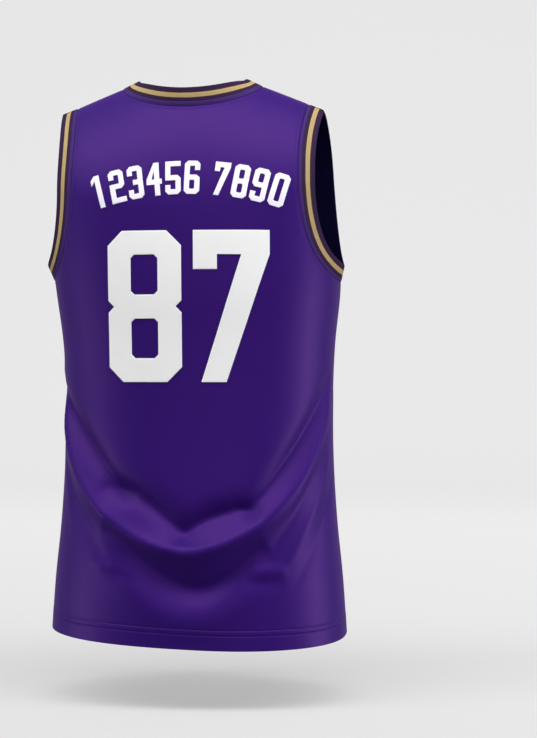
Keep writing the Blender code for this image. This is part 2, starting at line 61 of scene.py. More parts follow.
# Gap under which points are one, shortest length, and the step that slopes are taken over
WELD = 1e-6
TINY = 1e-12
SLOPE_STEP = 2e-4
# Reaches from its path at which a crease has ended
CREASE_END = 3.0
# Rows of stitching: heights from the hem, and the distance from the bands
HEM_ROWS = (0.0200, 0.0270)
SEAM_ROW = 0.0050
UV_CLOTH = "cloth"
UV_SEAMS = "seams"


class Half(Enum):
    """The two halves of the body, with the way along Y that each one faces."""

    BACK = -1.0
    FRONT = 1.0


class Held(Enum):
    """How a piece of cloth is held."""

    HUNG = "hung"
    STRETCHED = "stretched"


# ---------------------------------------------------------------------------------------------------
# Body that the cloth follows
# ---------------------------------------------------------------------------------------------------


@dataclass(frozen=True)
class Ring:
    """Level ring of the filled-out body."""

    height: float
    half_width: float
    back_depth: float
    front_depth: float
    roundness: float
    lean: float


@dataclass(frozen=True)
class Crease:
    """Soft ridge, or trough if its rise is negative, along a bent path on the cloth.

    Places are (across, height): the way round the body from the middle of a half, and the height. The
    path runs towards +X. Reach above is on its upper side, reach below on its lower side. A crispness of
    two is a soft roll, and near one the crest is sharp.
    """

    name: str
    middle: Half
    path: tuple[tuple[float, float], ...]
    rise: float
    above: float
    below: float
    crispness: float = 2.0
    taper: float = 0.65
    samples: int = 36

    def places(self) -> Grid:
        """Places along the path, which starts at its first point, ends at its last and bends by the rest."""
        t = np.linspace(0.0, 1.0, self.samples + 1)[:, None]
        points = [np.broadcast_to(np.array(point), (len(t), 2)) for point in self.path]
        while len(points) > 1:
            points = [(1.0 - t) * low + t * high for low, high in zip(points[:-1], points[1:])]
        return points[0]

    def lift(self, across: Grid, height: Grid) -> Grid:
        """How far the crease moves the cloth out.

        Args:
            across: Places round the body from the crease's own middle.
            height: Heights of the same places.

        Returns:
            Lift at each place, in metres.
        """
        path = self.places()
        reach = CREASE_END * max(self.above, self.below)
        near = (across > path[:, 0].min() - reach) & (across < path[:, 0].max() + reach)
        near &= (height > path[:, 1].min() - reach) & (height < path[:, 1].max() + reach)
        lift = np.zeros_like(across)
        if not near.any():
            return lift
        places = np.stack([across[near], height[near]], axis=-1)
        best = np.full(len(places), np.inf)
        along = np.zeros(len(places))
        upper = np.zeros(len(places), dtype=bool)
        for index, (first, last) in enumerate(zip(path[:-1], path[1:])):
            run = last - first
            offset = places - first
            share = np.clip(offset @ run / (run @ run), 0.0, 1.0)
            gap = np.linalg.norm(offset - share[:, None] * run, axis=-1)
            closer = gap < best
            best = np.where(closer, gap, best)
            along = np.where(closer, index + share, along)
            upper = np.where(closer, run[0] * offset[:, 1] - run[1] * offset[:, 0] > 0.0, upper)
        width = np.where(upper, self.above, self.below)
        taper = np.sin(math.pi * along / self.samples) ** self.taper
        lift[near] = self.rise * taper * np.exp(-((best / width) ** self.crispness))
        return lift


@dataclass(frozen=True)
class Body:
    """Hollow form that the worn jersey keeps, with its creases."""

    rings: tuple[Ring, ...]
    creases: tuple[Crease, ...]
    shoulder_height: float = -0.016
    shoulder_setback: float = 0.025
    shoulder_slope: float = math.radians(24.0)
    shoulder_rounding: float = 0.05
    shoulder_half_width: float = 0.163
    neck_half_width: float = 0.098
    crown_depth_centre: float = 0.20
    crown_depth_tip: float = 0.12
    crown_power: float = 1.6
    arc_samples: int = 16

    def column(self, name: str, height: Grid) -> Grid:
        """Value of one column of the rings at a height, on a smooth curve through them."""
        heights = np.array([ring.height for ring in self.rings])
        values = np.array([getattr(ring, name) for ring in self.rings])
        slopes = np.gradient(values, heights)
        height = np.clip(height, heights[-1], heights[0])
        k = np.clip(np.searchsorted(-heights, -height) - 1, 0, len(heights) - 2)
        span = heights[k + 1] - heights[k]
        t = (height - heights[k]) / span
        return (
            (1 + 2 * t) * (1 - t) ** 2 * values[k]
            + t * (1 - t) ** 2 * span * slopes[k]
            + t**2 * (3 - 2 * t) * values[k + 1]
            + t**2 * (t - 1) * span * slopes[k + 1]
        )

    def depth(self, half: Half, height: Grid) -> Grid:
        """Depth of a half's ring at a height."""
        return self.column("back_depth" if half is Half.BACK else "front_depth", height)

    def ring_point(self, half: Half, turn: Grid, height: Grid) -> tuple[Grid, Grid]:
        """Point (x, depth) of a half-ring at an angle from the half's middle."""
        power = self.column("roundness", height)
        across = np.abs(np.sin(turn)) / self.column("half_width", height)
        along = np.abs(np.cos(turn)) / self.depth(half, height)
        radius = (across**power + along**power) ** (-1.0 / power)
        return radius * np.sin(turn), radius * np.cos(turn)

    def turn_for_width(self, half: Half, x: Grid, height: Grid) -> Grid:
        """Angle from a half's middle at which its ring at a height is x from the middle plane."""
        power = self.column("roundness", height)
        share = np.clip(np.abs(x) / self.column("half_width", height), 0.0, 1.0)
        y = self.depth(half, height) * (1.0 - share**power) ** (1.0 / power)
        return np.sign(x) * np.arctan2(np.abs(x), y)

    def shoulder_line(self, x: Grid) -> Grid:
        """Height of the shoulder line at x, carried on smoothly over the neck opening."""
        reach = np.sqrt(np.square(x) + self.shoulder_rounding**2)
        neck_reach = math.hypot(self.neck_half_width, self.shoulder_rounding)
        return self.shoulder_height - math.tan(self.shoulder_slope) * (reach - neck_reach)

    def crown(self, x: Grid, height: Grid) -> Grid:
        """Share of the ring's depth that the body has reached below the shoulder line."""
        outward = np.clip(np.abs(x) / self.shoulder_half_width, 0.0, 1.0)
        span = self.crown_depth_centre + (self.crown_depth_tip - self.crown_depth_centre) * outward**2
        share = np.clip((self.shoulder_line(x) - height) / span, 0.0, 1.0)
        return (1.0 - (1.0 - share) ** self.crown_power) ** (1.0 / self.crown_power)

    def bare_point(self, half: Half, turn: Grid, height: Grid) -> Grid:
        """Point of the body before any crease."""
        x, depth = self.ring_point(half, turn, height)
        reached = self.crown(x, height)
        y = half.value * depth * reached - self.shoulder_setback * (1.0 - reached)
        return np.stack([x + self.column("lean", height), y, height * np.ones_like(x)], axis=-1)

    def ring_length(self, half: Half, turn: Grid, height: Grid) -> Grid:
        """Length round a ring from the half's middle to an angle."""
        total = np.zeros_like(turn * height)
        last_x, last_depth = self.ring_point(half, np.zeros_like(turn), height)
        for step in range(1, self.arc_samples + 1):
            x, depth = self.ring_point(half, turn * step / self.arc_samples, height)
            total = total + np.hypot(x - last_x, depth - last_depth)
            last_x, last_depth = x, depth
        return total

    def across(self, middle: Half, half: Half, turn: Grid, height: Grid) -> Grid:
        """Way round the body from the middle of the back or the front, positive towards +X."""
        length = self.ring_length(half, turn, height)
        if half is not middle:
            quarter = np.full_like(turn, math.pi / 2)
            girth = sum(self.ring_length(each, quarter, height) for each in Half)
            length = girth - length
        return np.where(turn < 0.0, -length, length)

    def level_normals(self, half: Half, turn: Grid, height: Grid) -> Grid:
        """Level unit directions out of the rings."""
        x_low, depth_low = self.ring_point(half, turn - SLOPE_STEP, height)
        x_high, depth_high = self.ring_point(half, turn + SLOPE_STEP, height)
        out = np.stack([depth_low - depth_high, half.value * (x_high - x_low), np.zeros_like(x_low)], axis=-1)
        return unit(out)

    def lift(self, half: Half, turn: Grid, height: Grid) -> Grid:
        """How far all the creases together move the cloth out."""
        total = np.zeros_like(turn)
        for middle in Half:
            across = self.across(middle, half, turn, height)
            for crease in self.creases:
                if crease.middle is middle:
                    total = total + crease.lift(across, height)
        return total

    def cloth_point(self, half: Half, turn: Grid, height: Grid) -> Grid:
        """Point of the cloth's middle surface, with its creases."""
        lift = self.lift(half, turn, height)[..., None]
        return self.bare_point(half, turn, height) + self.level_normals(half, turn, height) * lift


def unit(vectors: Grid) -> Grid:
    """Vectors of a grid at length one."""
    return vectors / np.maximum(np.linalg.norm(vectors, axis=-1, keepdims=True), TINY)


def lengths_along(points: Grid, axis: int = 0) -> Grid:
    """Length from the start of a line, or of every line of a grid along an axis, to each of its points."""
    steps = np.linalg.norm(np.diff(points, axis=axis), axis=-1)
    return np.insert(np.cumsum(steps, axis=axis), 0, 0.0, axis=axis)


def value_at(length: float, lengths: Grid, values: Grid) -> Grid:
    """Value at a length along a line, between the values at its points."""
    return np.array([np.interp(length, lengths, column) for column in values.T])


# ---------------------------------------------------------------------------------------------------
# Finishes
# ---------------------------------------------------------------------------------------------------


class Signal:
    """One output of a material's nodes. Arithmetic on it adds Math nodes."""

    def __init__(self, recipe: "Recipe", socket: bpy.types.NodeSocket) -> None:
        """Wrap a socket of a recipe."""
        self.recipe = recipe
        self.socket = socket

    def maths(self, operation: str, *values: Any) -> "Signal":
        """Result of a Math node of an operation on this signal and other values."""
        inputs = dict(enumerate((self, *values)))
        return self.recipe.make("ShaderNodeMath", {"operation": operation}, inputs)

    def __add__(self, other: Any) -> "Signal":
        """Sum."""
        return self.maths("ADD", other)

    def __sub__(self, other: Any) -> "Signal":
        """Difference."""
        return self.maths("SUBTRACT", other)

    def __mul__(self, other: Any) -> "Signal":
        """Product."""
        return self.maths("MULTIPLY", other)

    def __truediv__(self, other: Any) -> "Signal":
        """Quotient."""
        return self.maths("DIVIDE", other)

    def wave(self, pitch: float) -> "Signal":
        """Sine wave along this signal, with a pitch in metres."""
        return (self * (2.0 * math.pi / pitch)).maths("SINE")

    def bell(self, centre: float, width: float) -> "Signal":
        """Bell curve of this signal, one at its centre."""
        gap = (self - centre) / width
        return (gap * gap * -1.0).maths("EXPONENT")


class Recipe:
    """Nodes of one material."""

    def __init__(self, name: str) -> None:
        """Start a material with its shader and output alone."""
        self.material = bpy.data.materials.new(name)
        self.material.use_nodes = True
        self.tree = self.material.node_tree
        self.shader = self.tree.nodes["Principled BSDF"]

    def join(self, socket: bpy.types.NodeSocket, value: Any) -> None:
        """Give a socket a value or a signal."""
        if isinstance(value, Signal):
            self.tree.links.new(value.socket, socket)
        else:
            socket.default_value = value

    def make(self, kind: str, settings: dict[str, Any], inputs: dict[Any, Any], output: Any = 0) -> Signal:
        """Add a node.

        Args:
            kind: Type name of the node.
            settings: Attributes that are set first.
            inputs: Socket names or numbers, each with its value or the signal that feeds it.
            output: Name or number of the output that is wanted.

        Returns:
            Signal of that output.
        """
        node = self.tree.nodes.new(kind)
        for key, value in settings.items():
            setattr(node, key, value)
        for key, value in inputs.items():
            self.join(node.inputs[key], value)
        return Signal(self, node.outputs[output])

    def place(self) -> Signal:
        """Object coordinates."""
        return self.make("ShaderNodeTexCoord", {}, {}, "Object")

    def parts(self, vector: Signal) -> tuple[Signal, Signal]:
        """First two parts of a vector."""
        first = self.make("ShaderNodeSeparateXYZ", {}, {0: vector})
        return first, Signal(self, first.socket.node.outputs[1])

    def grey(self, value: Signal) -> Signal:
        """The same value in all three parts of a vector."""
        return self.make("ShaderNodeCombineXYZ", {}, {0: value, 1: value, 2: value})

    def uv(self, name: str) -> tuple[Signal, Signal]:
        """The two coordinates of a UV map, which holds metres."""
        return self.parts(self.make("ShaderNodeUVMap", {"uv_map": name}, {}))

    def noise(self, scale: float, detail: float = 1.0) -> Signal:
        """Soft noise on Object coordinates."""
        inputs = {"Vector": self.place(), "Scale": scale, "Detail": detail, "Roughness": 0.5}
        return self.make("ShaderNodeTexNoise", {"noise_dimensions": "3D"}, inputs)

    def stripes(self, share: Signal, stops: Sequence[tuple[float, Colour]]) -> Signal:
        """Colours along a share, each plain from its own stop to the next."""
        signal = self.make("ShaderNodeValToRGB", {}, {0: share})
        ramp = signal.socket.node.color_ramp
        ramp.interpolation = "CONSTANT"
        while len(ramp.elements) < len(stops):
            ramp.elements.new(0.5)
        for element, (place, colour) in zip(ramp.elements, stops):
            element.position = place
            element.color = opaque(colour)
        return signal

    def blend(self, share: Signal, low: Colour, high: Colour) -> Signal:
        """Colour between two, by a share."""
        values = {0: share, 6: opaque(low), 7: opaque(high)}
        return self.make("ShaderNodeMix", {"data_type": "RGBA", "blend_type": "MIX"}, values, 2)

    def feed(self, **values: Any) -> None:
        """Give sockets of the shader, named with _ for a space, their values or signals."""
        for name, value in values.items():
            self.join(self.shader.inputs[name.replace("_", " ")], value)

    def relief(self, height: Signal) -> None:
        """Bump the surface by a height in metres."""
        inputs = {"Height": height, "Distance": 1.0, "Strength": 1.0}
        self.feed(Normal=self.make("ShaderNodeBump", {}, inputs))


def opaque(colour: Colour) -> tuple[float, ...]:
    """Colour as a socket takes it."""
    return (*colour, 1.0)


def darker(colour: Colour, share: float) -> Colour:
    """A share of a colour."""
    return tuple(part * share for part in colour)


@dataclass(frozen=True)
class Finish:
    """Material of one kind of surface."""

    name: str
    colour: Colour

    def build(self) -> bpy.types.Material:
        """Make the material.

        Returns:
            The material, with the nodes that the kind of finish lays.
        """
        recipe = Recipe(self.name)
        self.lay(recipe)
        return recipe.material

    def lay(self, recipe: Recipe) -> None:
        """Lay the nodes of the finish."""
        raise NotImplementedError


@dataclass(frozen=True)
class KnitFinish(Finish):
    """Smooth polyester knit of the panels, with its sewn lines."""

    shade: Colour
    sheen: float = 0.12
    gloss_tint: Colour = (0.76, 0.26, 1.0)
    roughness: float = 0.50
    specular: float = 0.36
    wale: float = 0.0011
    course: float = 0.0009

    def lay(self, recipe: Recipe) -> None:
        """Lay the nodes of the finish."""
        across, along = recipe.uv(UV_CLOTH)
        to_band, to_hem = recipe.uv(UV_SEAMS)
        cloud = recipe.noise(5.0, 2.0)
        fleck = recipe.noise(420.0)
        recipe.feed(
            Base_Color=recipe.blend(cloud * 0.7 + fleck * 0.3, self.shade, self.colour),
            Roughness=cloud * 0.08 + (self.roughness - 0.04),
            Specular_IOR_Level=self.specular,
            Specular_Tint=opaque(self.gloss_tint),
            Sheen_Weight=self.sheen,
            Sheen_Roughness=0.45,
            Sheen_Tint=opaque(self.gloss_tint),
        )
        height = across.wave(self.wale) * along.wave(self.course) * 0.00002 + fleck * 0.00003
        for row in HEM_ROWS:
            height = height - to_hem.bell(row, 0.0013) * 0.00055
        recipe.relief(height - to_band.bell(SEAM_ROW, 0.0012) * 0.00030)


@dataclass(frozen=True)
class StripedRibFinish(Finish):
    """Knitted rib with a stripe along it. Widths are measured from the rim of the opening."""

    line: Colour
    gold: Colour
    foot: Colour
    rim_width: float = 0.0066
    line_width: float = 0.0008
    gold_width: float = 0.0064
    inner_width: float = 0.0046
    rib_pitch: float = 0.0016
    full_width: float = 0.0300

    def lay(self, recipe: Recipe) -> None:
        """Lay the nodes of the finish."""
        run, from_rim = recipe.uv(UV_CLOTH)
        edges = [0.0]
        for width in (self.rim_width, self.line_width, self.gold_width, self.line_width, self.inner_width):
            edges.append(edges[-1] + width)
        colours = (self.colour, self.line, self.gold, self.line, self.colour, self.foot)
        stops = [(edge / self.full_width, colour) for edge, colour in zip(edges, colours)]
        wobble = recipe.noise(60.0) * 0.0004 - 0.0002
        stripes = recipe.stripes((from_rim + wobble) / self.full_width, stops)
        rib = run.wave(self.rib_pitch)
        # The rib's colour is darker in the grooves between the ribs, in step with the rib relief: painted
        # shade. The noise adds random tone.
        shade = recipe.grey(rib * 0.10 + recipe.noise(500.0) * 0.25 + 0.80)
        shaded = recipe.make("ShaderNodeVectorMath", {"operation": "MULTIPLY"}, {0: stripes, 1: shade})
        recipe.feed(Base_Color=shaded, Roughness=0.70, Specular_IOR_Level=0.12)
        height = rib * 0.00008
        for edge in (edges[2], edges[3]):
            height = height - from_rim.bell(edge, 0.0006) * 0.00012
        recipe.relief(height - from_rim.bell(edges[5], 0.0008) * 0.0003)


@dataclass(frozen=True)
class PaintedShadeInsideFinish(Finish):
    """Dull wrong side of the cloth, painted near-black navy as painted shade for the unlit inside of the
    hollow jersey.
    """

    def lay(self, recipe: Recipe) -> None:
        """Lay the nodes of the finish."""
        colour = recipe.blend(recipe.noise(300.0), darker(self.colour, 0.7), self.colour)
        recipe.feed(Base_Color=colour, Roughness=0.85, Specular_IOR_Level=0.05)


@dataclass(frozen=True)
class TwillFinish(Finish):
    """Tackle twill of the cut-out figures."""

    shade: Colour
    pitch: float = 0.0010

    def lay(self, recipe: Recipe) -> None:
        """Lay the nodes of the finish."""
        across, along = recipe.uv(UV_CLOTH)
        cloud = recipe.noise(14.0, 2.0)
        twill = (across + along).wave(self.pitch)
        colour = recipe.blend(cloud + twill * 0.05, self.shade, self.colour)
        recipe.feed(Base_Color=colour, Roughness=cloud * 0.1 + 0.45, Specular_IOR_Level=0.35)
        recipe.relief(twill * 0.00002 + recipe.noise(300.0) * 0.00003)


@dataclass(frozen=True)
class ThreadFinish(Finish):
    """Sewing thread."""

    def lay(self, recipe: Recipe) -> None:
        """Lay the nodes of the finish."""
        strand = recipe.noise(1500.0)
        colour = recipe.blend(strand, darker(self.colour, 0.75), self.colour)
        recipe.feed(Base_Color=colour, Roughness=0.55, Specular_IOR_Level=0.4)
        recipe.relief(strand * 0.00003)


@dataclass(frozen=True)
class BackdropFinish(Finish):
    """Pale paper sweep that glows a little, and more at the back, so that it looks even."""

    floor_glow: float
    wall_glow: float
    near: float = -1.5
    far: float = 3.0

    def lay(self, recipe: Recipe) -> None:
        """Lay the nodes of the finish."""
        _, depth = recipe.parts(recipe.place())
        inputs = {"Value": depth, "From Min": self.near, "From Max": self.far}
        share = recipe.make("ShaderNodeMapRange", {"interpolation_type": "SMOOTHSTEP"}, inputs)
        glow = recipe.grey(share * (self.wall_glow - self.floor_glow) + self.floor_glow)
        recipe.feed(
            Base_Color=opaque(self.colour),
            Roughness=0.9,
            Specular_IOR_Level=0.0,
            Emission_Color=glow,
            Emission_Strength=1.0,
        )


# ---------------------------------------------------------------------------------------------------
# Pieces
# ---------------------------------------------------------------------------------------------------


def new_object(name: str, mesh: bmesh.types.BMesh, smooth: bool = True) -> bpy.types.Object:
    """Finish a bmesh as an object at the origin.

    Args:
        name: Name of the piece.
        mesh: Its geometry, which is freed.
        smooth: True to shade the faces as one smooth surface.

    Returns:
        The linked object.
    """
    data = bpy.data.meshes.new(name)
    for face in mesh.faces:
        face.smooth = smooth
    mesh.to_mesh(data)
    mesh.free()
    made = bpy.data.objects.new(name, data)
    bpy.context.scene.collection.objects.link(made)
    LOG.info("%s: %d faces", name, len(data.polygons))
    return made


def thicken(mesh: bmesh.types.BMesh, place: Any, far: Grid, material_index: int = 0) -> None:
    """Close a surface into a wall.

    Args:
        mesh: The surface.
        place: Layer that holds the number of each point.
        far: Places of the numbered points on the far side.
        material_index: Number of the far side's material.
    """
    grown = bmesh.ops.extrude_face_region(mesh, geom=list(mesh.faces), use_keep_orig=True)
    for item in grown["geom"]:
        if isinstance(item, bmesh.types.BMVert):
            item.co = far[item[place]]
        elif isinstance(item, bmesh.types.BMFace):
            item.material_index = material_index
    bmesh.ops.recalc_face_normals(mesh, faces=list(mesh.faces))


@dataclass
class Wall:
    """Closed wall of cloth between two lifts of a grid, with its two UV maps in metres."""

    points: Grid
    normals: Grid
    inner: Grid
    outer: Grid
    cloth: Grid
    seams: Grid
    closed: bool = False
    inside_index: int = 1

    def build(self, name: str) -> bpy.types.Object:
        """Make the wall from one bmesh grid that is shaped, joined and extruded.

        Args:
            name: Name of the piece.

        Returns:
            The wall's object.
        """
        rows, columns = self.points.shape[:2]
        spans = columns - 1
        outside = (self.points + self.normals * self.outer[..., None]).reshape(-1, 3)
        inside = (self.points + self.normals * self.inner[..., None]).reshape(-1, 3)
        mesh = bmesh.new()
        place = mesh.verts.layers.int.new("place")
        bmesh.ops.create_grid(mesh, x_segments=spans, y_segments=rows - 1, size=1.0)
        reach = max(vert.co.x for vert in mesh.verts)
        for vert in mesh.verts:
            column = round((vert.co.x / reach + 1.0) / 2.0 * spans)
            row = round((1.0 - vert.co.y / reach) / 2.0 * (rows - 1))
            vert[place] = row * columns + column
            vert.co = outside[vert[place]]
        for layer_name, values in ((UV_CLOTH, self.cloth), (UV_SEAMS, self.seams)):
            layer = mesh.loops.layers.uv.new(layer_name)
            flat = values.reshape(-1, 2)
            for face in mesh.faces:
                for corner in face.loops:
                    corner[layer].uv = flat[corner.vert[place]]
        if self.closed:
            bmesh.ops.remove_doubles(mesh, verts=list(mesh.verts), dist=WELD)
        thicken(mesh, place, inside, self.inside_index)
        return new_object(name, mesh)


@dataclass
class Piece:
    """One piece of the jersey, with its object once it is built."""

    name: str
    object: bpy.types.Object = field(default=None, init=False)

    def wear(self, *finishes: bpy.types.Material) -> None:
        """Give the piece its materials, and its body to ride on."""
        for finish in finishes:
            self.object.data.materials.append(finish)
        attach(self.object, "root")


@dataclass
class Panel(Piece):
    """Back or front of the body, with its turned-up hem."""

    body: Body
    half: Half
    neck_drop: float
    neck_squareness: float
    narrow_half_width: float
    neck_columns: int
    shoulder_columns: int
    armhole_rows: int
    side_rows: int
    hem_rows: int
    flat: tuple[float, float]
    flat_area: float
    wall: float = 0.0010
    hem_depth: float = 0.0270
    hem_swell: float = 0.0006
    pit_height: float = -0.286
    pit_level_centre: float = -0.300
    armhole_narrow_height: float = -0.130
    armhole_squareness: float = 2.8
    row_bend: float = 3.0
    hem_height_side: float = -0.771
    hem_height_centre: float = -0.781
    hem_tilt: float = 0.005
    row_crowding: float = 1.25
    fade_share: float = 0.75
    neck_push: float = 0.12
    neck_push_power: float = 4.0
    edge_roll: float = 0.0007
    curve_samples: int = 181
    fine_rows_reach: float = 1.3
    hem_step: float = 0.0015
    roll_width: float = 0.0016
    inner_roll: float = 0.6
    nearest_batch: int = 2000
    points: Grid = field(default=None, init=False)
    normals: Grid = field(default=None, init=False)

    def shoulder_tip(self) -> tuple[float, float]:
        """Angle and height of the shoulder's outer end."""
        body = self.body
        height = float(body.shoulder_line(body.shoulder_half_width))
        return float(body.turn_for_width(self.half, body.shoulder_half_width, height)), height

    def edge_curve(self) -> tuple[Grid, Grid]:
        """Edge of the armhole from the shoulder tip to the pit, as angles and heights."""
        tip_turn, tip_height = self.shoulder_tip()
        narrow_height = self.armhole_narrow_height
        narrow = float(self.body.turn_for_width(self.half, self.narrow_half_width, narrow_height))
        share = np.linspace(0.0, 1.0, self.curve_samples)
        upper_height = tip_height + (narrow_height - tip_height) * share
        upper_turn = narrow + (tip_turn - narrow) * (1.0 - share) ** 2
        fall = np.sin(share * math.pi / 2) ** (2.0 / self.armhole_squareness)
        out = 1.0 - np.cos(share * math.pi / 2) ** (2.0 / self.armhole_squareness)
        lower_height = narrow_height + (self.pit_height - narrow_height) * fall
        lower_turn = narrow + (math.pi / 2 - narrow) * out
        return np.append(upper_turn, lower_turn[1:]), np.append(upper_height, lower_height[1:])

    def armhole_edge(self, shares: Grid) -> tuple[Grid, Grid]:
        """Angles and heights at shares of the armhole's length."""
        turns, heights = self.edge_curve()
        lengths = lengths_along(self.body.bare_point(self.half, turns, heights))
        wanted = shares * lengths[-1]
        return np.interp(wanted, lengths, turns), np.interp(wanted, lengths, heights)

    def neckline_height(self, x: Grid) -> Grid:
        """Height of the neckline at x."""
        share = np.clip(np.abs(x) / self.body.neck_half_width, 0.0, 1.0)
        return self.body.shoulder_height - self.neck_drop * (1.0 - share**2) ** (1.0 / self.neck_squareness)

    def column_numbers(self) -> Grid:
        """Column numbers, counted from the middle."""
        half = self.neck_columns + self.shoulder_columns
        return np.arange(-half, half + 1)

    def top_shares(self) -> Grid:
        """Columns of the top edge as shares of the half width, even along the neckline."""
        body = self.body
        x = body.neck_half_width * np.sin(np.linspace(0.0, math.pi / 2, self.curve_samples))
        height = self.neckline_height(x)
        turn = body.turn_for_width(self.half, x, height)
        lengths = lengths_along(body.bare_point(self.half, turn, height))
        inner_x = np.interp(np.linspace(0.0, lengths[-1], self.neck_columns + 1), lengths, x)
        inner = body.turn_for_width(self.half, inner_x, body.shoulder_height) / self.shoulder_tip()[0]
        outer = np.linspace(inner[-1], 1.0, self.shoulder_columns + 1)
        half = np.append(inner, outer[1:])
        return np.append(-half[:0:-1], half)

    def grid(self) -> tuple[Grid, Grid]:
        """Angle and height of every point, in rows from the shoulders to the hem."""
        rows = np.linspace(0.0, 1.0, self.armhole_rows + 1) ** self.row_crowding
        hem_share = 1.0 - self.fine_rows_reach * self.hem_depth / (self.pit_height - self.hem_height_side)
        side = np.linspace(0.0, hem_share, self.side_rows + 1)[1:]
        below = np.append(side, np.linspace(hem_share, 1.0, self.hem_rows + 1)[1:])
        edge_turn, edge_height = self.armhole_edge(rows)
        edge_turn = np.append(edge_turn, np.full(len(below), math.pi / 2))
        side_height = self.pit_height + (self.hem_height_side - self.pit_height) * below
        edge_height = np.append(edge_height, side_height)
        neck_height = self.body.shoulder_height - self.neck_drop
        centre_height = neck_height + (self.pit_level_centre - neck_height) * rows
        hem_drop = self.hem_height_centre - self.pit_level_centre
        centre_height = np.append(centre_height, self.pit_level_centre + hem_drop * below)
        fade_rows = self.fade_share * self.armhole_rows
        numbers = np.arange(len(edge_turn))
        fade = np.clip(1.0 - numbers / fade_rows, 0.0, 1.0)[:, None] ** 2
        columns = self.column_numbers()
        even = columns / columns[-1]
        top = self.top_shares()
        neck = top[columns == self.neck_columns]
        outer_side = (1.0 - np.abs(top)) / (1.0 - neck)
        near_neck = np.minimum((np.abs(top) / neck) ** self.neck_push_power, outer_side)
        swell = np.sin(np.clip(numbers / fade_rows, 0.0, 1.0) * math.pi)[:, None]
        shares = even + (top - even) * fade + self.neck_push * swell * near_neck * np.sign(top)
        turn = edge_turn[:, None] * shares
        bend = np.abs(shares) ** self.row_bend
        height = centre_height[:, None] + (edge_height - centre_height)[:, None] * bend
        x = self.body.ring_point(self.half, turn[0], np.full_like(turn[0], self.body.shoulder_height))[0]
        on_neck = np.abs(columns) < self.neck_columns
        top_height = np.where(on_neck, self.neckline_height(x), self.body.shoulder_line(x))
        height = height + fade * (top_height - height[0])
        tilt = np.append(np.zeros(self.armhole_rows + 1), below)
        return turn, height - self.hem_tilt * tilt[:, None] * np.sin(turn)

    def surface(self) -> None:
        """Work out the points and the outward normals."""
        turn, height = self.grid()
        body = self.body
        self.points = body.cloth_point(self.half, turn, height)
        down = np.gradient(self.points, axis=0)
        across = np.gradient(self.points, axis=1)
        normals = np.cross(across, down) * self.half.value
        columns = self.column_numbers()
        on_shoulder = np.abs(columns) >= self.neck_columns
        x = body.ring_point(self.half, turn[0], height[0])[0]
        fall = body.shoulder_line(x - SLOPE_STEP) - body.shoulder_line(x + SLOPE_STEP)
        fall = fall / (2.0 * SLOPE_STEP)
        rise = np.stack([fall, np.zeros_like(x), np.ones_like(x)], axis=-1)
        normals[0, on_shoulder] = rise[on_shoulder]
        normals[self.armhole_rows :, 0, 1] = 0.0
        normals[self.armhole_rows :, -1, 1] = 0.0
        self.normals = unit(normals)

    def distances(self) -> tuple[Grid, Grid]:
        """Way to the nearest band seam, and up from the hem, for every point."""
        from_top = lengths_along(self.points)
        from_hem = from_top[-1] - from_top
        columns = self.column_numbers()
        edge = [self.points[0, np.abs(columns) <= self.neck_columns]]
        edge += [self.points[: self.armhole_rows + 1, side] for side in (0, -1)]
        rim = np.concatenate(edge)
        flat = self.points.reshape(-1, 3)
        nearest = np.full(len(flat), np.inf)
        for start in range(0, len(flat), self.nearest_batch):
            batch = slice(start, start + self.nearest_batch)
            gaps = np.linalg.norm(flat[batch, None] - rim[None], axis=-1)
            nearest[batch] = gaps.min(axis=1)
        return nearest.reshape(from_hem.shape), from_hem

    def build(self) -> None:
        """Make the panel's wall."""
        self.surface()
        to_band, to_hem = self.distances()
        run = lengths_along(self.points, axis=1)
        run = run - run[:, run.shape[1] // 2, None]
        cloth = np.stack([run, self.points[..., 2]], axis=-1)
        hem = np.clip((self.hem_depth - to_hem) / self.hem_step + 0.5, 0.0, 1.0)
        roll = self.edge_roll * np.exp(-((to_band / self.roll_width) ** 2))
        outer = self.wall / 2 + hem * self.hem_swell * 0.5 - roll
        inner = -self.wall / 2 - hem * self.hem_swell - roll * self.inner_roll
        seams = np.stack([to_band, to_hem], axis=-1)
        wall = Wall(self.points, self.normals, inner, outer, cloth, seams)
        self.object = wall.build(self.name)

    def dress(self, finish: bpy.types.Material, inside: bpy.types.Material) -> None:
        self.wear(finish, inside)


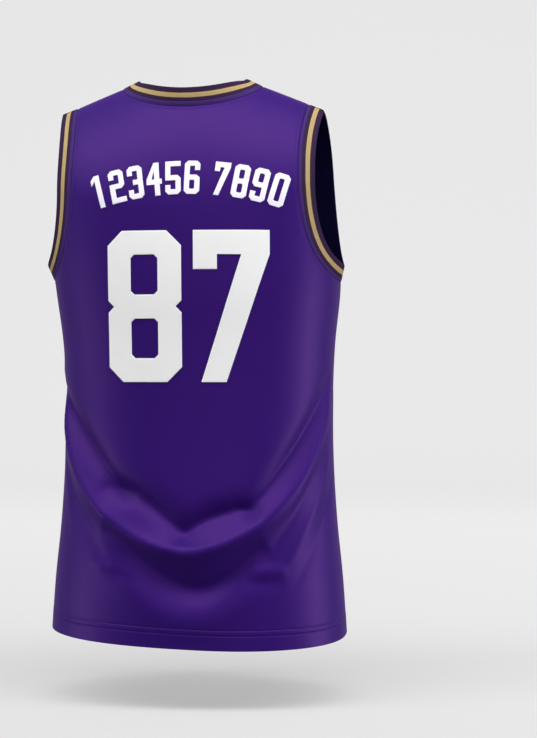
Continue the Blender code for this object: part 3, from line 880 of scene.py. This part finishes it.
@dataclass
class RibBand(Piece):
    """Doubled rib band that rims one opening, rounded where it is folded."""

    node: str
    width: float
    stand: Grid
    edge: Grid
    edge_normals: Grid
    flat: tuple[float, float]
    thickness: float = 0.0021
    rows: int = 26
    smoothing: int = 12
    rim_power: float = 8.0
    rim_least: float = 1e-5
    foot_roll: float = 0.0006
    foot_roll_width: float = 0.0018

    def smoothed(self, directions: Grid) -> Grid:
        """Unit directions round a closed edge, each evened out with its neighbours."""
        for _ in range(self.smoothing):
            beside = np.roll(directions, 1, axis=0) + np.roll(directions, -1, axis=0)
            directions = unit(beside + 2 * directions)
        return directions

    @staticmethod
    def into_opening(edge: Grid, normals: Grid) -> Grid:
        """Unit directions that carry the edge on along its cloth, into the opening."""
        run = np.roll(edge, -1, axis=0) - np.roll(edge, 1, axis=0)
        inward = unit(np.cross(normals, run))
        to_middle = np.mean(edge, axis=0) - edge
        return inward * np.sign(np.sum(inward * to_middle))

    def build(self) -> None:
        """Make the band from its foot at the seam to its folded rim."""
        smooth = self.smoothed(self.edge_normals)
        inward = self.smoothed(self.into_opening(self.edge, smooth))
        rising = inward * np.cos(self.stand) + smooth * np.sin(self.stand)
        facing = smooth * np.cos(self.stand) - inward * np.sin(self.stand)
        share = (1.0 - np.cos(np.linspace(0.0, math.pi, self.rows))) / 2.0
        points = self.edge + rising * (self.width * share)[:, None, None]
        normals = np.broadcast_to(facing, points.shape)
        to_rim = np.clip(2.0 * share - 1.0, 0.0, 1.0)
        half = self.thickness / 2 * (1.0 - to_rim**self.rim_power) ** (1.0 / self.rim_power)
        half = np.maximum(half, self.rim_least)
        roll = self.foot_roll * np.exp(-((self.width * share / self.foot_roll_width) ** 2))
        points = np.concatenate([points, points[:, :1]], axis=1)
        normals = np.concatenate([normals, normals[:, :1]], axis=1)
        lift = np.broadcast_to(half[:, None], points.shape[:2])
        run = lengths_along(points[0])
        from_rim = self.width * (1.0 - share)
        cloth = np.stack(np.broadcast_arrays(run[None, :], from_rim[:, None]), axis=-1)
        outer, inner = lift - roll[:, None], -lift - roll[:, None]
        wall = Wall(points, normals, inner, outer, cloth, cloth, closed=True)
        self.object = wall.build(self.name)

    def dress(self, finish: bpy.types.Material, inside: bpy.types.Material) -> None:
        self.wear(finish, inside)
        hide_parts(self.node)


@dataclass(frozen=True)
class FigureSize:
    """Sizes of a block figure."""

    height: float
    width: float
    stroke: float
    chamfer: float
    notch: float
    hook: float
    counter_chamfer: float

    def loops(self, figure: str) -> list[Loop]:
        """Closed outlines of a block figure.

        Args:
            figure: One numeral.

        Returns:
            The outside first and then the counters, as (x, z) from the lower left corner.
        """
        w, h, s, c, n, k = self.width, self.height, self.stroke, self.chamfer, self.notch, self.hook
        mid, low, high = h / 2, (h - s) / 2, (h + s) / 2
        foot: Loop = [(0, c), (c, 0), (w - c, 0), (w, c)]
        head: Loop = [(w, h - c), (w - c, h), (c, h), (0, h - c)]
        stem, flag, arm = (w - s) / 2, 0.8 * s, w - 1.45 * s
        bar_low, bar_high = low - s / 2, low + s / 2
        shapes: dict[str, list[Loop]] = {
            "0": [foot + head, self.counter(s, s, w - s, h - s)],
            "1": [[(stem, 0), (stem + s, 0), (stem + s, h), (stem, h), (stem - flag, h - flag),
                   (stem - flag, h - flag - s), (stem, h - s)]],
            "3": [foot + [(w, mid)] + head
                  + [(0, h - s - k), (s, h - s - k), (s, h - s), (w - s, h - s), (w - s, high), (s, high),
                     (s, low), (w - s, low), (w - s, s), (s, s), (s, s + k), (0, s + k)]],
            "4": [[(arm, 0), (arm + s, 0), (arm + s, bar_low), (w, bar_low), (w, bar_high),
                   (arm + s, bar_high), (arm + s, h), (arm, h), (0, bar_high), (0, bar_low), (arm, bar_low)],
                  [(s, bar_high), (arm, bar_high), (arm, h - 1.6 * s)]],
            "5": [foot + [(w, high - c), (w - c, high), (s, high), (s, h - s), (w, h - s), (w, h), (0, h),
                          (0, low), (w - s, low), (w - s, s), (s, s), (s, s + k), (0, s + k)]],
            "6": [foot + [(w, high - c), (w - c, high), (s, high), (s, h - s), (w - s, h - s),
                          (w - s, h - s - k), (w, h - s - k)] + head, self.counter(s, s, w - s, low)],
            "7": [[(0, h), (w, h), (w, h - s), (0.43 * w, 0), (0.10 * w, 0), (w - 1.15 * s, h - s),
                   (s, h - s), (s, h - s - k), (0, h - s - k)]],
            "8": [foot + [(w, mid - n), (w - n, mid), (w, mid + n)] + head
                  + [(0, mid + n), (n, mid), (0, mid - n)],
                  self.counter(s, s, w - s, low), self.counter(s, high, w - s, h - s)],
        }
        if figure == "2":
            return [[(x, h - z) for x, z in loop] for loop in shapes["5"]]
        if figure == "9":
            return [[(w - x, h - z) for x, z in loop] for loop in shapes["6"]]
        return shapes[figure]

    def counter(self, left: float, foot: float, right: float, head: float) -> Loop:
        """Opening inside a figure, with its corners cut."""
        c = self.counter_chamfer
        return [(left + c, foot), (right - c, foot), (right, foot + c), (right, head - c),
                (right - c, head), (left + c, head), (left, head - c), (left, foot + c)]


@dataclass
class Figure(Piece):
    """One cut-out figure sewn on the back."""

    node: str
    figure: str
    size: FigureSize
    corner: tuple[float, float]
    tilt: float
    panel: Panel
    border: float
    area_share: float
    cut: float = 0.005
    clearance: float = 0.0002
    thickness: float = 0.0009
    edge_thickness: float = 0.0006
    slope_step: float = 5e-4
    cut_gap: float = 1e-5

    def outline(self) -> bmesh.types.BMesh:
        """Flat figure in the XY plane, in its place, filled and cut into small faces."""
        curve = bpy.data.curves.new("figure_outline", "CURVE")
        curve.dimensions = "2D"
        curve.fill_mode = "BOTH"
        for loop in self.size.loops(self.figure):
            spline = curve.splines.new("POLY")
            spline.points.add(len(loop) - 1)
            for point, (x, z) in zip(spline.points, loop):
                point.co = (x, z, 0.0, 1.0)
            spline.use_cyclic_u = True
        holder = bpy.data.objects.new("figure_outline", curve)
        bpy.context.scene.collection.objects.link(holder)
        bpy.context.view_layer.update()
        data = bpy.data.meshes.new_from_object(holder)
        bpy.data.objects.remove(holder, do_unlink=True)
        mesh = bmesh.new()
        mesh.from_mesh(data)
        bpy.data.meshes.remove(data)
        bmesh.ops.remove_doubles(mesh, verts=list(mesh.verts), dist=WELD)
        bmesh.ops.recalc_face_normals(mesh, faces=list(mesh.faces))
        bmesh.ops.inset_region(
            mesh, faces=list(mesh.faces), use_boundary=True, use_even_offset=True, thickness=self.border
        )
        turn = Matrix.Rotation(-self.tilt, 4, "Z")
        shift = Matrix.Translation((self.corner[0], self.corner[1], 0.0))
        bmesh.ops.transform(mesh, matrix=shift @ turn, verts=list(mesh.verts))
        for axis in (0, 1):
            values = [vert.co[axis] for vert in mesh.verts]
            for number in range(math.ceil(min(values) / self.cut), math.ceil(max(values) / self.cut)):
                through, square = Vector((0, 0, 0)), Vector((0, 0, 0))
                through[axis], square[axis] = number * self.cut, 1.0
                geometry = list(mesh.verts) + list(mesh.edges) + list(mesh.faces)
                bmesh.ops.bisect_plane(
                    mesh, geom=geometry, dist=self.cut_gap, plane_co=through, plane_no=square
                )
        return mesh

    def build(self) -> None:
        """Cut the figure out and lay it on the back."""
        mesh = self.outline()
        mesh.verts.index_update()
        rim = {vert.index for vert in mesh.verts if vert.is_boundary}
        flat = np.array([vert.co[:2] for vert in mesh.verts])
        body = self.panel.body
        x, height = flat[:, 0] - body.column("lean", flat[:, 1]), flat[:, 1]
        turn = body.turn_for_width(self.panel.half, x, height)
        half, step = self.panel.half, self.slope_step
        points = body.cloth_point(half, turn, height)
        across = body.cloth_point(half, turn + step, height) - body.cloth_point(half, turn - step, height)
        down = body.cloth_point(half, turn, height - step) - body.cloth_point(half, turn, height + step)
        normals = unit(np.cross(across, down) * half.value)
        top = np.full(len(points), self.clearance + self.panel.wall / 2 + self.thickness)
        top[sorted(rim)] -= self.thickness - self.edge_thickness
        bottom = self.clearance + self.panel.wall / 2
        layer = mesh.loops.layers.uv.new(UV_CLOTH)
        place = mesh.verts.layers.int.new("place")
        for face in mesh.faces:
            for corner in face.loops:
                corner[layer].uv = corner.vert.co[:2]
        for vert in mesh.verts:
            vert[place] = vert.index
            vert.co = points[vert.index] + normals[vert.index] * top[vert.index]
        thicken(mesh, place, points + normals * bottom)
        self.object = new_object(self.name, mesh, smooth=False)

    def dress(self, finish: bpy.types.Material) -> None:
        self.wear(finish)
        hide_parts(self.node)
        size = (self.size.width, self.size.height)
        area = self.area_share * size[0] * size[1]


@dataclass
class StitchRow(Piece):
    """Row of short stitches along a line on the cloth."""

    slot: str
    pitch: float = 0.0030
    length: float = 0.0021
    thickness: float = 0.00042
    flatness: float = 0.7
    slope_step: float = 1e-3

    def build(self, lines: Iterable[tuple[Grid, Grid]]) -> None:
        """Lay stitches along lines, as one object.

        Args:
            lines: Points and normals of each line.
        """
        mesh = bmesh.new()
        for points, normals in lines:
            run = lengths_along(points)
            for place in np.arange(self.pitch / 2, run[-1], self.pitch):
                at = Vector(value_at(place, run, points))
                ahead = Vector(value_at(place + self.slope_step, run, points))
                behind = Vector(value_at(place - self.slope_step, run, points))
                out = Vector(value_at(place, run, normals)).normalized()
                along = (ahead - behind).normalized()
                side = out.cross(along).normalized()
                turn = Matrix((along, side, out)).transposed().to_4x4()
                size = (self.length / 2, self.thickness, self.thickness * self.flatness, 1.0)
                matrix = Matrix.Translation(at) @ turn @ Matrix.Diagonal(size)
                bmesh.ops.create_icosphere(mesh, subdivisions=1, radius=1.0, matrix=matrix)
        self.object = new_object(self.name, mesh)

    def dress(self, finish: bpy.types.Material) -> None:
        """Give the stitches their thread."""
        self.wear(finish)


# ---------------------------------------------------------------------------------------------------
# The jersey
# ---------------------------------------------------------------------------------------------------

BACK, FRONT = Half.BACK, Half.FRONT

RINGS = (
    Ring(0.000, 0.204, 0.122, 0.106, 2.6, -0.005),
    Ring(-0.120, 0.204, 0.130, 0.112, 2.7, -0.006),
    Ring(-0.240, 0.203, 0.132, 0.122, 2.6, -0.004),
    Ring(-0.300, 0.199, 0.130, 0.123, 2.5, -0.001),
    Ring(-0.370, 0.191, 0.125, 0.120, 2.4, 0.0),
    Ring(-0.500, 0.188, 0.122, 0.116, 2.3, 0.0),
    Ring(-0.620, 0.194, 0.129, 0.120, 2.3, 0.0),
    Ring(-0.700, 0.202, 0.135, 0.124, 2.3, 0.0),
    Ring(-0.790, 0.208, 0.138, 0.128, 2.3, 0.0),
)

CREASES = (
    # The swag from side to side of the lower back
    Crease("swag", BACK, ((-0.228, -0.415), (-0.115, -0.740), (0.115, -0.721), (0.226, -0.448)),
           0.0110, 0.019, 0.015, 1.35),
    Crease("swag_crest", BACK, ((-0.236, -0.390), (-0.115, -0.740), (0.115, -0.722), (0.234, -0.415)),
           0.0080, 0.012, 0.0065, 1.25),
    # The hollow above it: down each side, with a pocket on the left and a smaller one on the right
    Crease("left_sag", BACK, ((-0.236, -0.420), (-0.145, -0.517), (-0.076, -0.590)),
           -0.0150, 0.015, 0.010, 1.5),
    Crease("left_pocket", BACK, ((-0.122, -0.570), (-0.066, -0.559), (0.022, -0.654)),
           -0.0152, 0.014, 0.0140, 1.4),
    Crease("right_pocket", BACK, ((-0.016, -0.640), (0.045, -0.586), (0.103, -0.601)),
           -0.0124, 0.014, 0.0140, 1.4),
    Crease("right_corner", BACK, ((0.062, -0.594), (0.080, -0.590), (0.106, -0.610)),
           -0.0026, 0.008, 0.005, 1.5),
    Crease("right_sag", BACK, ((0.076, -0.609), (0.150, -0.533), (0.229, -0.415)),
           -0.0130, 0.015, 0.010, 1.5),
    # Below it, a deep trough that narrows to both ends, and the swell under that
    Crease("trough", BACK,
           ((-0.112, -0.616), (-0.060, -0.640), (0.020, -0.792), (0.065, -0.664), (0.108, -0.640)),
           -0.0135, 0.018, 0.019, 1.5),
    Crease("low_swell", BACK, ((-0.130, -0.640), (0.008, -0.826), (0.115, -0.660)), 0.0042, 0.018, 0.026),
    Crease("left_tuck", BACK, ((-0.138, -0.668), (-0.118, -0.674), (-0.094, -0.676)),
           0.0022, 0.005, 0.006, 1.5),
    Crease("left_tuck_hollow", BACK, ((-0.116, -0.676), (-0.096, -0.684), (-0.070, -0.692)),
           -0.0020, 0.006, 0.008, 1.8),
    Crease("right_tuck", BACK, ((0.088, -0.676), (0.114, -0.679), (0.138, -0.674)),
           0.0030, 0.006, 0.007, 1.6),
    Crease("right_tuck_hollow", BACK, ((0.078, -0.690), (0.106, -0.699), (0.134, -0.688)),
           -0.0024, 0.006, 0.010, 1.8),
    # Down the sides
    Crease("left_drag", BACK, ((-0.200, -0.530), (-0.160, -0.604), (-0.104, -0.676)),
           -0.0026, 0.006, 0.010, 1.6),
    Crease("left_drag_ridge", BACK, ((-0.216, -0.510), (-0.184, -0.600), (-0.136, -0.700)),
           0.0014, 0.007, 0.010, 1.6),
    Crease("right_drag", BACK, ((0.104, -0.668), (0.164, -0.588), (0.216, -0.480)),
           -0.0030, 0.008, 0.007, 1.5),
    Crease("right_drag_ridge", BACK, ((0.128, -0.690), (0.180, -0.614), (0.226, -0.510)),
           0.0028, 0.008, 0.007, 1.4),
    Crease("right_fine", BACK, ((0.146, -0.706), (0.196, -0.628), (0.238, -0.545)),
           -0.0018, 0.006, 0.006, 1.5),
    # Front, which is much like the back
    Crease("front_swag", FRONT, ((-0.225, -0.440), (-0.105, -0.700), (0.110, -0.690), (0.222, -0.430)),
           0.0090, 0.018, 0.018, 1.4),
    Crease("front_crest", FRONT, ((-0.225, -0.430), (-0.105, -0.698), (0.110, -0.688), (0.222, -0.425)),
           0.0020, 0.006, 0.004, 1.2),
    Crease("front_pocket", FRONT, ((-0.100, -0.560), (-0.045, -0.545), (0.025, -0.606)),
           -0.0110, 0.014, 0.009, 1.5),
    Crease("front_pocket_right", FRONT, ((0.035, -0.600), (0.075, -0.560), (0.112, -0.575)),
           -0.0085, 0.014, 0.009, 1.5),
    Crease("front_sag", FRONT, ((-0.205, -0.430), (-0.150, -0.490), (-0.090, -0.560)),
           -0.0080, 0.013, 0.010, 1.5),
    Crease("front_sag_right", FRONT, ((0.095, -0.575), (0.150, -0.510), (0.205, -0.430)),
           -0.0080, 0.013, 0.010, 1.5),
    Crease("front_trough", FRONT, ((-0.120, -0.605), (-0.010, -0.750), (0.118, -0.610)),
           -0.0075, 0.018, 0.018, 1.6),
    Crease("front_drag", FRONT, ((0.112, -0.660), (0.160, -0.600), (0.205, -0.500)),
           -0.0026, 0.009, 0.009, 1.6),
    Crease("front_drag_left", FRONT, ((-0.200, -0.520), (-0.160, -0.610), (-0.105, -0.680)),
           -0.0026, 0.009, 0.009, 1.6),
    Crease("front_chest", FRONT, ((-0.130, -0.250), (0.000, -0.330), (0.130, -0.240)), 0.0020, 0.020, 0.030),
)

# Share of its rectangle that each figure fills
FIGURE_SHARES = {"0": 0.80, "1": 0.45, "2": 0.72, "3": 0.74, "4": 0.55, "5": 0.74, "6": 0.78, "7": 0.48,
                 "8": 0.80, "9": 0.78}


@dataclass
class Jersey:
    """All the pieces of the jersey, in the order that they are sewn."""

    body: Body
    number: str = "87"
    numerals: str = "1234567890"
    number_size: FigureSize = FigureSize(
        height=0.2025, width=0.101, stroke=0.032, chamfer=0.020, notch=0.008, hook=0.020,
        counter_chamfer=0.005,
    )
    numeral_size: FigureSize = FigureSize(
        height=0.0453, width=0.0208, stroke=0.0070, chamfer=0.0042, notch=0.0, hook=0.006,
        counter_chamfer=0.0012,
    )
    number_border: float = 0.0011
    numeral_border: float = 0.0006
    figure_middle: float = 0.004
    number_foot: float = -0.4255
    number_half_space: float = 0.008
    arch_centre_height: float = -0.591
    arch_radius: float = 0.416
    arch_pitch: float = math.radians(3.36)
    arch_group_space: float = math.radians(1.80)
    arch_first_group: int = 6
    neckband_width: float = 0.0252
    neck_stand_middle: float = math.radians(34.0)
    neck_stand_point: float = math.radians(-5.0)
    armband_width: float = 0.0235
    armband_stand_tip: float = math.radians(-2.0)
    armband_stand_pit: float = math.radians(4.0)
    stitch_reach: int = 12
    stitch_lift: float = 0.0001
    panels: dict[Half, Panel] = field(default_factory=dict, init=False)

    def sew_panels(self, knit: bpy.types.Material, inside: bpy.types.Material) -> None:
        """Make the back and the front."""
        back = Panel(
            "back_body", self.body, BACK, neck_drop=0.034, neck_squareness=1.45, narrow_half_width=0.1555,
            neck_columns=42, shoulder_columns=24, armhole_rows=70, side_rows=104, hem_rows=30,
            flat=(0.53, 0.77), flat_area=0.365,
        )
        front = Panel(
            "front_body", self.body, FRONT, neck_drop=0.100, neck_squareness=2.0, narrow_half_width=0.173,
            neck_columns=40, shoulder_columns=18, armhole_rows=60, side_rows=80, hem_rows=24,
            flat=(0.53, 0.71), flat_area=0.345,
        )
        for panel, node in ((back, "back_panel"), (front, "front_panel")):
            panel.build()
            panel.dress(knit, inside)
            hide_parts(node)
            self.panels[panel.half] = panel

    @staticmethod
    def joined(back: Grid, front: Grid) -> Grid:
        """Closed loop of a back edge and a front edge that meet at both ends."""
        first, last = (back[0] + front[-1]) / 2, (back[-1] + front[0]) / 2
        return np.vstack([first, back[1:-1], last, front[1:-1]])

    def neck_loop(self, grids: dict[Half, Grid]) -> Grid:
        """Loop round the neckline of one grid per panel."""
        rows = {}
        for half, panel in self.panels.items():
            middle = grids[half].shape[1] // 2
            rows[half] = grids[half][0, middle - panel.neck_columns : middle + panel.neck_columns + 1]
        return self.joined(rows[BACK], rows[FRONT][::-1])

    def armhole_loop(self, grids: dict[Half, Grid], side: int) -> Grid:
        """Loop round one armhole of one grid per panel. Side is the first or last column."""
        rows = {half: grids[half][: panel.armhole_rows + 1, side] for half, panel in self.panels.items()}
        return self.joined(rows[BACK], rows[FRONT][::-1])

    def sew_bands(self, rib: bpy.types.Material, inside: bpy.types.Material) -> None:
        """Make the neckband and the two armbands."""
        points = {half: panel.points for half, panel in self.panels.items()}
        normals = {half: panel.normals for half, panel in self.panels.items()}
        loop = self.neck_loop(points)
        x = loop[:, :1]
        outward = np.clip(np.abs(x - (x.max() + x.min()) / 2) / self.body.neck_half_width, 0.0, 1.0)
        stand = self.neck_stand_middle + (self.neck_stand_point - self.neck_stand_middle) * outward**3
        neck_normals = self.neck_loop(normals)
        bands = [
            RibBand("neck_rib", "neckband", self.neckband_width, stand, loop, neck_normals, (0.0252, 0.56))
        ]
        sides = ((-1, "armhole_rib_right", "armband_right"), (0, "armhole_rib_left", "armband_left"))
        for side, name, node in sides:
            loop = self.armhole_loop(points, side)
            height = loop[:, 2:]
            fall = (height.max() - height) / (height.max() - height.min())
            stand = self.armband_stand_tip + (self.armband_stand_pit - self.armband_stand_tip) * fall
            edge_normals = self.armhole_loop(normals, side)
            bands.append(RibBand(name, node, self.armband_width, stand, loop, edge_normals, (0.0235, 0.62)))
        for band in bands:
            band.build()
            band.dress(rib, inside)

    def sew_figures(self, twill: bpy.types.Material, bright: bpy.types.Material) -> None:
        """Make the number and the arch of numerals."""
        left = self.figure_middle - self.number_half_space - self.number_size.width
        right = self.figure_middle + self.number_half_space
        size = self.number_size
        numbers = (("number_left", self.number[0], left), ("number_right", self.number[1], right))
        for node, figure, x in numbers:
            self.sew_figure(node, figure, size, (x, self.number_foot), 0.0, self.number_border, twill)
        last = len(self.numerals) - 1
        half = self.numeral_size.width / 2
        for place, figure in enumerate(self.numerals):
            group = 0.5 if place >= self.arch_first_group else -0.5
            tilt = (place - last / 2) * self.arch_pitch + group * self.arch_group_space
            x = self.figure_middle + self.arch_radius * math.sin(tilt) - half * math.cos(tilt)
            z = self.arch_centre_height + self.arch_radius * math.cos(tilt) + half * math.sin(tilt)
            node = f"small_numeral_{place + 1:02d}"
            self.sew_figure(node, figure, self.numeral_size, (x, z), tilt, self.numeral_border, bright)

    def sew_figure(self, node: str, figure: str, size: FigureSize, corner: tuple[float, float], tilt: float,
                   border: float, finish: bpy.types.Material) -> None:
        """Make one figure and sew it on the back.

        Args:
            node: The figure's piece in the frame.
            figure: Its numeral.
            size: Its sizes.
            corner: Place of its lower left corner.
            tilt: How far it leans to the right.
            border: Width of its border.
            finish: Its twill.
        """
        share = FIGURE_SHARES[figure]
        made = Figure(f"{node}_twill", node, figure, size, corner, tilt, self.panels[BACK], border, share)
        made.build()
        made.dress(finish)

    def stitch_line(self, panel: Panel, runs: Iterable[tuple[Grid, Any]], offset: float) -> tuple[Grid, Grid]:
        """Line on a panel at an offset from an edge.

        Args:
            panel: The panel that is stitched.
            runs: For each place along the line, distances from the edge and the slice of the grid that
                they are at.
            offset: Distance of the line from the edge.

        Returns:
            Points on the outer face and their normals.
        """
        places, outs = [], []
        for run, part in runs:
            out = value_at(offset, run, panel.normals[part])
            point = value_at(offset, run, panel.points[part])
            places.append(point + out * (panel.wall / 2 + self.stitch_lift))
            outs.append(out)
        return np.array(places), np.array(outs)

    def topstitch(self, thread: bpy.types.Material) -> None:
        """Make the two rows round the hem, and one row beside each band."""
        hem, beside = StitchRow("hem_stitches", "purple_cloth"), StitchRow("seam_stitches", "purple_cloth")
        hem_lines, seam_lines = [], []
        for panel in self.panels.values():
            to_band, to_hem = panel.distances()
            last = panel.points.shape[1] - 1
            up = slice(None, None, -1)
            for height in HEM_ROWS:
                runs = [(to_hem[up, column], (up, column)) for column in range(last + 1)]
                hem_lines.append(self.stitch_line(panel, runs, height))
            middle, reach, rows = last // 2, panel.neck_columns - 1, self.stitch_reach
            columns = range(middle - reach, middle + reach + 1)
            runs = [(to_band[:rows, column], (slice(0, rows), column)) for column in columns]
            seam_lines.append(self.stitch_line(panel, runs, SEAM_ROW))
            for side in (slice(0, rows), slice(last, last - rows, -1)):
                runs = [(to_band[row, side], (row, side)) for row in range(2, panel.armhole_rows)]
                seam_lines.append(self.stitch_line(panel, runs, SEAM_ROW))
        for stitches, lines in ((hem, hem_lines), (beside, seam_lines)):
            stitches.build(lines)
            stitches.dress(thread)


@dataclass(frozen=True)
class Lamp:
    """Soft rectangular light."""

    name: str
    place: tuple[float, float, float]
    aim: tuple[float, float, float]
    size: tuple[float, float]
    power: float

    def hang(self) -> None:
        """Hang the light so that it faces its aim."""
        lamp = bpy.data.lights.new(self.name, "AREA")
        lamp.shape = "RECTANGLE"
        lamp.size, lamp.size_y = self.size
        lamp.energy = self.power
        made = bpy.data.objects.new(self.name, lamp)
        bpy.context.scene.collection.objects.link(made)
        made.location = self.place
        made.rotation_euler = facing(Vector(self.place), Vector(self.aim))


def facing(place: Vector, aim: Vector) -> Any:
    """Turn of a lamp or a camera at a place that faces an aim."""
    return (aim - place).to_track_quat("-Z", "Y").to_euler()


LAMPS = (
    Lamp("above", (0.1, -1.1, 2.0), (0.0, -0.05, -0.35), (8.0, 1.1), 176.0),
    Lamp("left", (-2.0, -0.8, -1.05), (0.0, 0.0, -0.72), (0.8, 0.6), 44.0),
    Lamp("right", (2.0, -0.3, -0.85), (0.0, 0.0, -0.70), (0.8, 0.9), 33.0),
    Lamp("front", (0.4, -3.2, 0.1), (0.0, 0.0, -0.40), (1.6, 1.6), 15.0),
)


@dataclass
class Studio:
    """Backdrop, lights and camera."""

    floor_height: float = -0.866
    floor_near: float = -8.0
    floor_far: float = 4.0
    sweep_radius: float = 2.0
    sweep_steps: int = 16
    wall_top: float = 7.0
    half_breadth: float = 9.0
    ambient: float = 0.25
    camera_distance: float = 2.33
    camera_height: float = -0.408
    camera_azimuth: float = math.radians(9.0)
    aim_across: float = 0.0974
    view_angle: float = math.radians(25.22)
    sensor_width: float = 36.0

    def lay_backdrop(self, finish: bpy.types.Material) -> None:
        """Floor that sweeps up into a wall behind the jersey."""
        mesh = bmesh.new()
        profile = [(self.floor_near, self.floor_height), (self.floor_far, self.floor_height)]
        for step in range(1, self.sweep_steps + 1):
            angle = step / self.sweep_steps * math.pi / 2
            y = self.floor_far + self.sweep_radius * math.sin(angle)
            profile.append((y, self.floor_height + self.sweep_radius * (1.0 - math.cos(angle))))
        profile.append((profile[-1][0], self.wall_top))
        verts = [mesh.verts.new((-self.half_breadth, y, z)) for y, z in profile]
        edges = [mesh.edges.new(pair) for pair in zip(verts[:-1], verts[1:])]
        grown = bmesh.ops.extrude_edge_only(mesh, edges=edges)
        moved = [item for item in grown["geom"] if isinstance(item, bmesh.types.BMVert)]
        bmesh.ops.translate(mesh, verts=moved, vec=(2.0 * self.half_breadth, 0.0, 0.0))
        bmesh.ops.recalc_face_normals(mesh, faces=list(mesh.faces))
        sweep = new_object("backdrop", mesh)
        sweep.data.materials.append(finish)
        sweep.visible_diffuse = False
        sweep.visible_glossy = False

    def light(self) -> None:
        """Soft ambient light and the lamps."""
        world = bpy.data.worlds.new("studio")
        world.use_nodes = True
        back = world.node_tree.nodes["Background"]
        back.inputs[0].default_value = (1.0, 1.0, 1.0, 1.0)
        back.inputs[1].default_value = self.ambient
        bpy.context.scene.world = world
        for lamp in LAMPS:
            lamp.hang()

    def set_camera(self) -> None:
        """Level camera that looks at the back a little from the right."""
        azimuth = self.camera_azimuth
        lens = bpy.data.cameras.new("camera")
        lens.sensor_fit = "AUTO"
        lens.sensor_width = self.sensor_width
        lens.lens = self.sensor_width / 2 / math.tan(self.view_angle / 2)
        camera = bpy.data.objects.new("camera", lens)
        bpy.context.scene.collection.objects.link(camera)
        place = Vector((math.sin(azimuth), -math.cos(azimuth), 0.0)) * self.camera_distance
        place.z = self.camera_height
        aim = Vector((math.cos(azimuth), math.sin(azimuth), 0.0)) * self.aim_across
        aim.z = self.camera_height
        camera.location = place
        camera.rotation_euler = facing(place, aim)
        bpy.context.scene.camera = camera
        bpy.context.scene.view_settings.view_transform = "Standard"


def main() -> None:
    """Load the frame, build the jersey on it and set the studio."""
    logging.basicConfig(level=logging.INFO, format="%(name)s %(message)s")
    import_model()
    knit = KnitFinish("purple_knit", (0.0158, 0.0023, 0.124), (0.0141, 0.0020, 0.112)).build()
    # Inner faces of the panels and bands are near-black navy: painted shade for the unlit inside of the
    # hollow jersey.
    inside = PaintedShadeInsideFinish("knit_inside_painted_shade", (0.0060, 0.0040, 0.0420)).build()
    rib = StripedRibFinish(
        "striped_rib", (0.028, 0.010, 0.046), line=(0.034, 0.012, 0.013), gold=(0.435, 0.315, 0.147),
        foot=(0.046, 0.018, 0.135),
    ).build()
    twill = TwillFinish("white_twill", (0.87, 0.87, 0.87), (0.82, 0.82, 0.83)).build()
    bright = TwillFinish("bright_twill", (0.84, 0.80, 0.91), (0.79, 0.75, 0.87)).build()
    thread = ThreadFinish("purple_thread", (0.060, 0.018, 0.180)).build()
    jersey = Jersey(Body(RINGS, CREASES))
    jersey.sew_panels(knit, inside)
    jersey.sew_bands(rib, inside)
    jersey.sew_figures(twill, bright)
    jersey.topstitch(thread)
    studio = Studio()
    studio.lay_backdrop(BackdropFinish("backdrop_paper", (0.30, 0.30, 0.30), 0.332, 0.672).build())
    studio.light()
    studio.set_camera()


if __name__ == "__main__":
    main()
